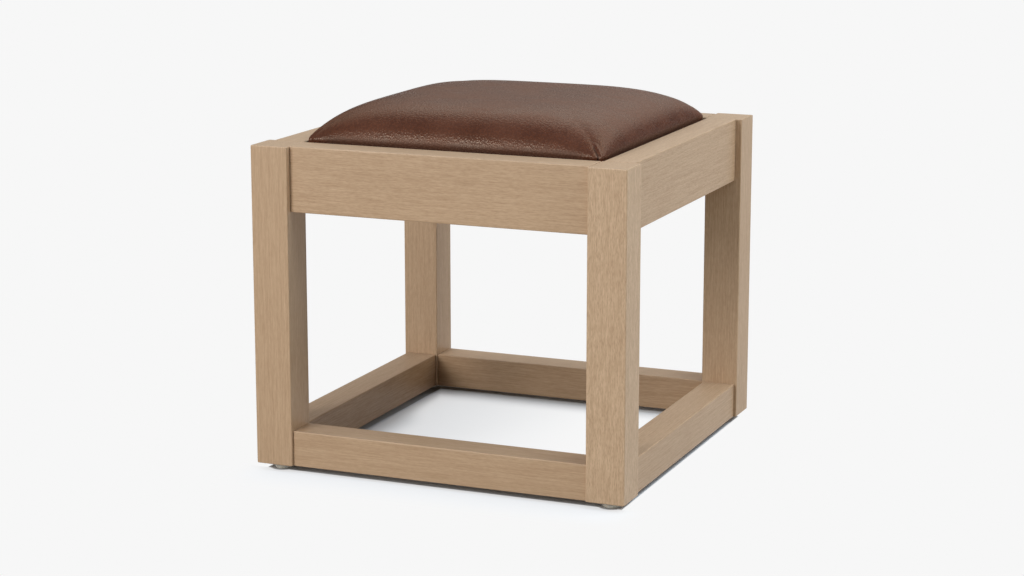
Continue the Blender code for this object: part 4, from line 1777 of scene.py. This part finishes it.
@dataclass
class StapleRow:
    """The staples along the margin of the seat's dust cover."""

    palette: Palette
    half: float = 0.0050
    leg: float = 0.0040
    wire: float = 0.0005
    width: float = 0.0011
    margin: float = 0.0065
    bend: float = 0.0008
    inner_bend: float = 0.4
    gap: float = 0.0001
    end: float = 0.016
    per_side: int = 10
    stray: float = 0.003
    twist: float = 0.16
    wander: float = 0.0012
    seed: int = 7

    def build(self) -> None:
        """Builds the staples along the dust cover's margin as one piece.

        One staple is a flat wire carried down, across and up again with bevelled bends. It is turned
        and moved to even places along each side, with a small uneven shift and turn.
        """
        high = corners_of("dust_cover")[1]
        under = corners_of("corner_block_front_left")[1][2] + self.gap
        half, bend, wire = self.half, self.bend, self.wire
        short = self.inner_bend * wire
        outer = np.array([(-half, self.leg), (-half, bend), (bend - half, 0.0)])
        inner = outer + np.array([(wire, 0.0), (wire, short), (short, wire)])
        flip = np.array([-1.0, 1.0])
        outer = np.concatenate([outer, outer[::-1] * flip])
        inner = np.concatenate([inner, inner[::-1] * flip])
        wide = self.width / 2
        edges = [(inner, wide), (inner, -wide), (outer, -wide), (outer, wide)]
        wire_rings = np.stack([
            np.column_stack([line[:, 0], np.full(len(line), shift), line[:, 1]]) for line, shift in edges
        ], axis=1)
        random = np.random.default_rng(self.seed)
        count = 4 * self.per_side
        spread = float(high[0]) - self.margin
        even = np.linspace(self.end - spread, spread - self.end, self.per_side)
        along = np.tile(even, 4) + random.uniform(-self.stray, self.stray, count)
        side = np.repeat(np.arange(4) * math.pi / 2, self.per_side)
        twist = side + random.uniform(-self.twist, self.twist, count)
        inset = -spread + random.uniform(-self.wander, self.wander, count)
        x = along * np.cos(side) - inset * np.sin(side)
        y = along * np.sin(side) + inset * np.cos(side)
        local_x, local_y, local_z = np.moveaxis(wire_rings.reshape(-1, 3), -1, 0)
        points = np.stack([
            x[:, None] + np.cos(twist)[:, None] * local_x - np.sin(twist)[:, None] * local_y,
            y[:, None] + np.sin(twist)[:, None] * local_x + np.cos(twist)[:, None] * local_y,
            np.broadcast_to(under + local_z, (count, len(local_z))),
        ], axis=-1)
        one = np.array(loft_faces(len(outer), len(edges)))
        first = np.arange(count)[:, None, None] * len(local_z)
        faces = (one + first).reshape(-1, len(edges)).tolist()
        row = Piece("dust_cover_staples", points, faces, [self.palette.steel], "zinc_steel", SEAT_BODY)
        row.fit(row.build())


@dataclass
class StudioFloor:
    """The floor, whose white stops where the object's shadow lies.

    Each pair of ends says between which places, in metres, one share turns into the next.
    """

    pale: Colour = (0.88, 0.91, 0.935, 1.0)
    light: Colour = (0.90, 0.93, 0.955, 1.0)
    half: float = 40.0
    bounce: Colour = (0.30, 0.26, 0.20, 1.0)
    shade: Colour = (0.55, 0.55, 0.55, 1.0)
    lit_side: float = 0.0036
    lit_front: float = 0.009
    glide_shade: float = 0.005
    lit_edge: float = 0.001
    front_glow: float = 0.65
    front_fade: float = 0.07
    inside_glow: float = 0.62
    inner_fade: float = 0.055
    inner_edge: float = 0.17
    back_reach: float = 0.014
    back_haste: float = 2.2
    haste_ends: Pair = (0.02, 0.12)
    dark_edge: float = 0.003
    under_edge: float = 0.006
    side_fade: float = 0.03
    front_start: float = 0.1
    inner_ends: Pair = (-0.002, 0.004)
    inner_step: float = 0.001
    glow_ends: Pair = (-0.17, 0.10)

    def build(self) -> None:
        """Lays a pale floor, white away from the object, that keeps the shadow under and beside it."""
        station = np.linspace(-self.half, self.half, 3)
        across, along = np.meshgrid(station, station, indexing="ij")
        points = np.stack([across, along, np.zeros_like(across)], axis=-1)
        surface = Surface.start("studio_floor", Roughness=0.9, Specular_IOR_Level=0.0)
        board = surface.board
        grain = board.noise(surface.place, 3.0)
        pale = board.mix(grain, self.pale, self.light)
        under, clear = self._shares(board, surface.place)
        # Under the stretchers and round the glides the floor's colour is darkened: a painted shadow over the
        # real one
        ground = board.mix(under, pale, self.shade)
        path = board.add("LightPath")
        colour = board.mix(path.outputs["Is Diffuse Ray"], ground, self.bounce)
        board.join(colour, surface.shader.inputs["Base Color"])
        glow = board.add("Emission", {"Color": STUDIO_WHITE, "Strength": 1.0})
        seen = board.most(path.outputs["Is Camera Ray"], board.mirrored(path))
        share = board.times(clear, seen)
        mixed = board.add("MixShader", {0: share, 1: surface.shader.outputs[0], 2: glow.outputs[0]})
        # From below the floor is clear, so that the underside can be looked at
        below = board.add("NewGeometry").outputs["Backfacing"]
        clear_side = board.add("BsdfTransparent").outputs[0]
        sided = board.add("MixShader", {0: below, 1: mixed.outputs[0], 2: clear_side})
        output = surface.material.node_tree.nodes["Material Output"]
        board.join(sided.outputs[0], output.inputs["Surface"])
        row = Piece("floor", points, grid_faces(3, 3).tolist(), [surface.material], "", "")
        row.build()

    def _shares(self, board: NodeBoard, place: Socket) -> tuple[Socket, Socket]:
        """Gives where the floor's colour is darkened under the stretchers as painted shadow, and where its
        own white shows.

        Light reaches a little way under the stretchers, further in front than at the sides, and the
        white ends there. It is weaker close in front, and comes back within the inner fade inside the
        opening, less at the left, and sooner beside the stretchers at the back.

        Args:
            board: The floor's nodes.
            place: The floor's object coordinates.

        Returns:
            The share of painted shadow under the stretchers and round the glides, and the share of white.
        """
        low, high = corners_of("stretcher_right")
        footprint, opening = float(high[0]), float(low[0])
        x, y, _ = board.add("SeparateXYZ", {0: place}).outputs[:3]
        across = board.math("ABSOLUTE", x)
        depth = board.math("ABSOLUTE", y)
        forward = board.times(y, -1.0)
        haste = board.rise(y, *self.haste_ends, 1.0, self.back_haste)
        sideways = board.times(board.minus(opening, across), haste)
        lengthways = board.minus(opening, board.most(board.minus(y, self.back_reach), forward))
        inside = board.least(sideways, lengthways)
        from_side = board.minus(footprint - self.lit_side, across)
        from_front = board.minus(footprint - self.lit_front, depth)
        dark = board.most(board.least(from_side, from_front), self._near_glides(board, across, depth))
        outside = board.rise(inside, -self.under_edge, 0.0, 1.0, 0.0)
        under = board.times(board.rise(dark, 0.0, self.dark_edge), outside)
        front = board.minus(forward, footprint)
        slow = board.rise(front, -self.lit_front, self.front_fade, self.front_glow, 1.0)
        beside = board.rise(board.minus(across, footprint), -self.side_fade, self.side_fade, 1.0, 0.0)
        ahead = board.times(board.rise(from_front, -self.lit_edge, self.lit_edge, 1.0, 0.0), beside)
        ahead = board.times(ahead, board.rise(front, -self.front_start, 0.0))
        veil = board.add("Mix", {0: ahead, 2: 1.0, 3: slow}).outputs[0]
        outer = board.times(board.rise(dark, -self.lit_edge, self.lit_edge, 1.0, 0.0), veil)
        first = board.rise(inside, *self.inner_ends, 0.0, self.inner_edge)
        rest = board.rise(inside, self.inner_step, self.inner_fade, 0.0, 1 - self.inner_edge)
        left = board.rise(x, *self.glow_ends, self.inside_glow, 1.0)
        inner = board.times(board.plus(first, rest), left)
        return under, board.most(outer, inner)

    def _near_glides(self, board: NodeBoard, across: Socket, depth: Socket) -> Socket:
        """Gives how far inside the shade round a glide a place lies.

        Args:
            board: The floor's nodes.
            across: The place's distance from the middle along X.
            depth: The place's distance from the middle along Y.

        Returns:
            The distance to the shade's rim, negative outside it.
        """
        low, high = corners_of("glide_back_right")
        middle = (low + high) / 2
        radius = float(high[0] - low[0]) / 2
        away = board.add("CombineXYZ", {
            0: board.minus(across, float(middle[0])), 1: board.minus(depth, float(middle[1])),
        })
        return board.minus(radius + self.glide_shade, board.length(away.outputs[0]))


@dataclass
class StudioRoom:
    """What surrounds the object, as the camera, the surfaces and the reflections see it."""

    sky_ends: Pair = (0.30, 0.85)
    behind_ends: Pair = (-0.15, 0.35)
    left_ends: Pair = (-0.65, -0.45)
    right_ends: Pair = (0.05, 0.38)
    middle_ends: Pair = (-0.55, -0.38)
    graded_ends: Pair = (-0.6, -0.15)
    high_ends: Pair = (0.21, 0.36)
    overhead_ends: Pair = (0.66, 0.80)
    right_drop: float = 0.12
    left_wall: Colour = (0.04, 0.035, 0.03, 1.0)
    dim_wall: Colour = (0.34, 0.31, 0.30, 1.0)
    dark_wall: Colour = (0.06, 0.045, 0.035, 1.0)
    left_high_wall: Colour = (0.45, 0.36, 0.27, 1.0)
    high_wall: Colour = (1.02, 0.865, 0.735, 1.0)
    warm_panel: Colour = (2.0, 1.5, 0.95, 1.0)
    ceiling: Colour = (0.13, 0.13, 0.13, 1.0)
    world_high: Colour = (0.85, 0.92, 1.01, 1.0)

    def build(self) -> None:
        """Makes the surround: white for the camera, a soft sky for surfaces, and a graded room for gloss.

        Each pair of ends says between which parts of a unit direction one tone turns into the next.
        """
        world = bpy.data.worlds.new("studio")
        world.use_nodes = True
        bpy.context.scene.world = world
        board = NodeBoard(world.node_tree)
        way = board.add("TexCoord").outputs["Generated"]
        x, y, up = board.add("SeparateXYZ", {0: way}).outputs[:3]
        lit = board.mix(board.rise(up, *self.sky_ends), (0.0, 0.0, 0.0, 1.0), self.world_high)
        # In reflections the low wall behind the object is dim, and the ceiling dark left and warm right
        behind = board.most(board.rise(y, *self.behind_ends), board.rise(x, *self.left_ends, 1.0, 0.0))
        right = board.rise(x, *self.right_ends)
        middle = board.rise(x, *self.middle_ends)
        graded = board.rise(x, *self.graded_ends)
        low = board.mix(graded, self.left_wall, board.mix(right, self.dim_wall, self.dark_wall))
        high = board.mix(middle, self.left_high_wall, self.high_wall)
        over = board.rise(board.math("MULTIPLY_ADD", right, -self.right_drop, up), *self.high_ends)
        room = board.mix(behind, STUDIO_WHITE, board.mix(over, low, high))
        overhead = board.mix(right, self.ceiling, self.warm_panel)
        room = board.mix(board.rise(up, *self.overhead_ends), room, overhead)
        path = board.add("LightPath")
        unseen = board.mix(board.mirrored(path), lit, room)
        shell = world.node_tree.nodes["Background"]
        board.join(board.mix(path.outputs["Is Camera Ray"], unseen, STUDIO_WHITE), shell.inputs["Color"])


@dataclass(frozen=True)
class Softbox:
    """One square area lamp, aimed at the middle of the object."""

    name: str
    azimuth: float
    elevation: float
    distance: float
    size: float
    watts: float
    tint: Triple = (1.0, 1.0, 1.0)
    mirrored: bool = False


@dataclass
class Studio:
    """The lamps and the camera at the photograph's angle, with the floor and the room."""

    azimuth: float = 22.5436
    elevation: float = 12.0606
    distance: float = 2.93316
    target: Triple = (-0.0001, 0.0, 0.19085)
    lens: float = 85.487
    sensor: float = 36.0
    softboxes: tuple[Softbox, ...] = (
        Softbox("front_left_key", -25.5, 20.0, 4.0, 1.6, 76.0, mirrored=True),
        Softbox("front_low", -18.0, 4.0, 3.0, 0.4, 8.5),
        Softbox("right_high", 90.0, 50.0, 3.0, 1.9, 39.6, tint=(0.83, 0.975, 1.10), mirrored=True),
        Softbox("right_low", 78.0, -1.5, 3.0, 0.25, 9.6, tint=(0.86, 0.99, 1.08)),
        Softbox("back_right_low", 125.0, 16.0, 3.0, 1.4, 17.0, tint=(1.0, 0.94, 0.90)),
        Softbox("overhead", 0.0, 88.0, 3.0, 1.4, 15.8, tint=(0.56, 0.86, 1.25)),
    )

    def build(self) -> None:
        """Sets up everything round the object."""
        bpy.context.scene.view_settings.view_transform = "Standard"
        StudioFloor().build()
        StudioRoom().build()
        for softbox in self.softboxes:
            self._lamp(softbox)
        self._camera()

    def _direction(self, azimuth: float, elevation: float) -> Vector:
        """Gives the unit vector from the object towards an azimuth (0 in front, 90 right) and elevation."""
        turn, tilt = math.radians(azimuth), math.radians(elevation)
        return Vector((math.sin(turn) * math.cos(tilt), -math.cos(turn) * math.cos(tilt), math.sin(tilt)))

    def _aim(self, name: str, data: Any, azimuth: float, elevation: float, distance: float) -> Object:
        """Places a lamp or a camera so that it looks at the target.

        Args:
            name: The name of its object.
            data: The lamp or the camera.
            azimuth: 0 in front and 90 at the right.
            elevation: The angle above the floor.
            distance: How far it is from the target.

        Returns:
            Its object.
        """
        holder = bpy.data.objects.new(name, data)
        way = self._direction(azimuth, elevation)
        holder.location = Vector(self.target) + way * distance
        holder.rotation_euler = way.to_track_quat("Z", "Y").to_euler()
        bpy.context.scene.collection.objects.link(holder)
        return holder

    def _lamp(self, softbox: Softbox) -> None:
        """Hangs one softbox.

        Args:
            softbox: The lamp's place, size and light.
        """
        light = bpy.data.lights.new(softbox.name, "AREA")
        light.energy = softbox.watts
        light.color = softbox.tint
        light.size = softbox.size
        lamp = self._aim(softbox.name, light, softbox.azimuth, softbox.elevation, softbox.distance)
        lamp.visible_camera = False
        lamp.visible_glossy = softbox.mirrored

    def _camera(self) -> None:
        """Puts the camera at the photograph's angle."""
        camera = bpy.data.cameras.new("camera")
        camera.lens = self.lens
        camera.sensor_width = self.sensor
        eye = self._aim("camera", camera, self.azimuth, self.elevation, self.distance)
        bpy.context.scene.camera = eye


def main() -> None:
    """Loads the frame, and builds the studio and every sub-assembly."""
    logging.basicConfig(level=logging.INFO, format="%(name)s: %(message)s")
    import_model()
    Studio().build()
    palette = Palette(SharedEffects())
    BeechFrame(palette).build()
    Hardware(palette).build()
    DropInSeat(palette).build()
    StapleRow(palette).build()


if __name__ == "__main__":
    main()
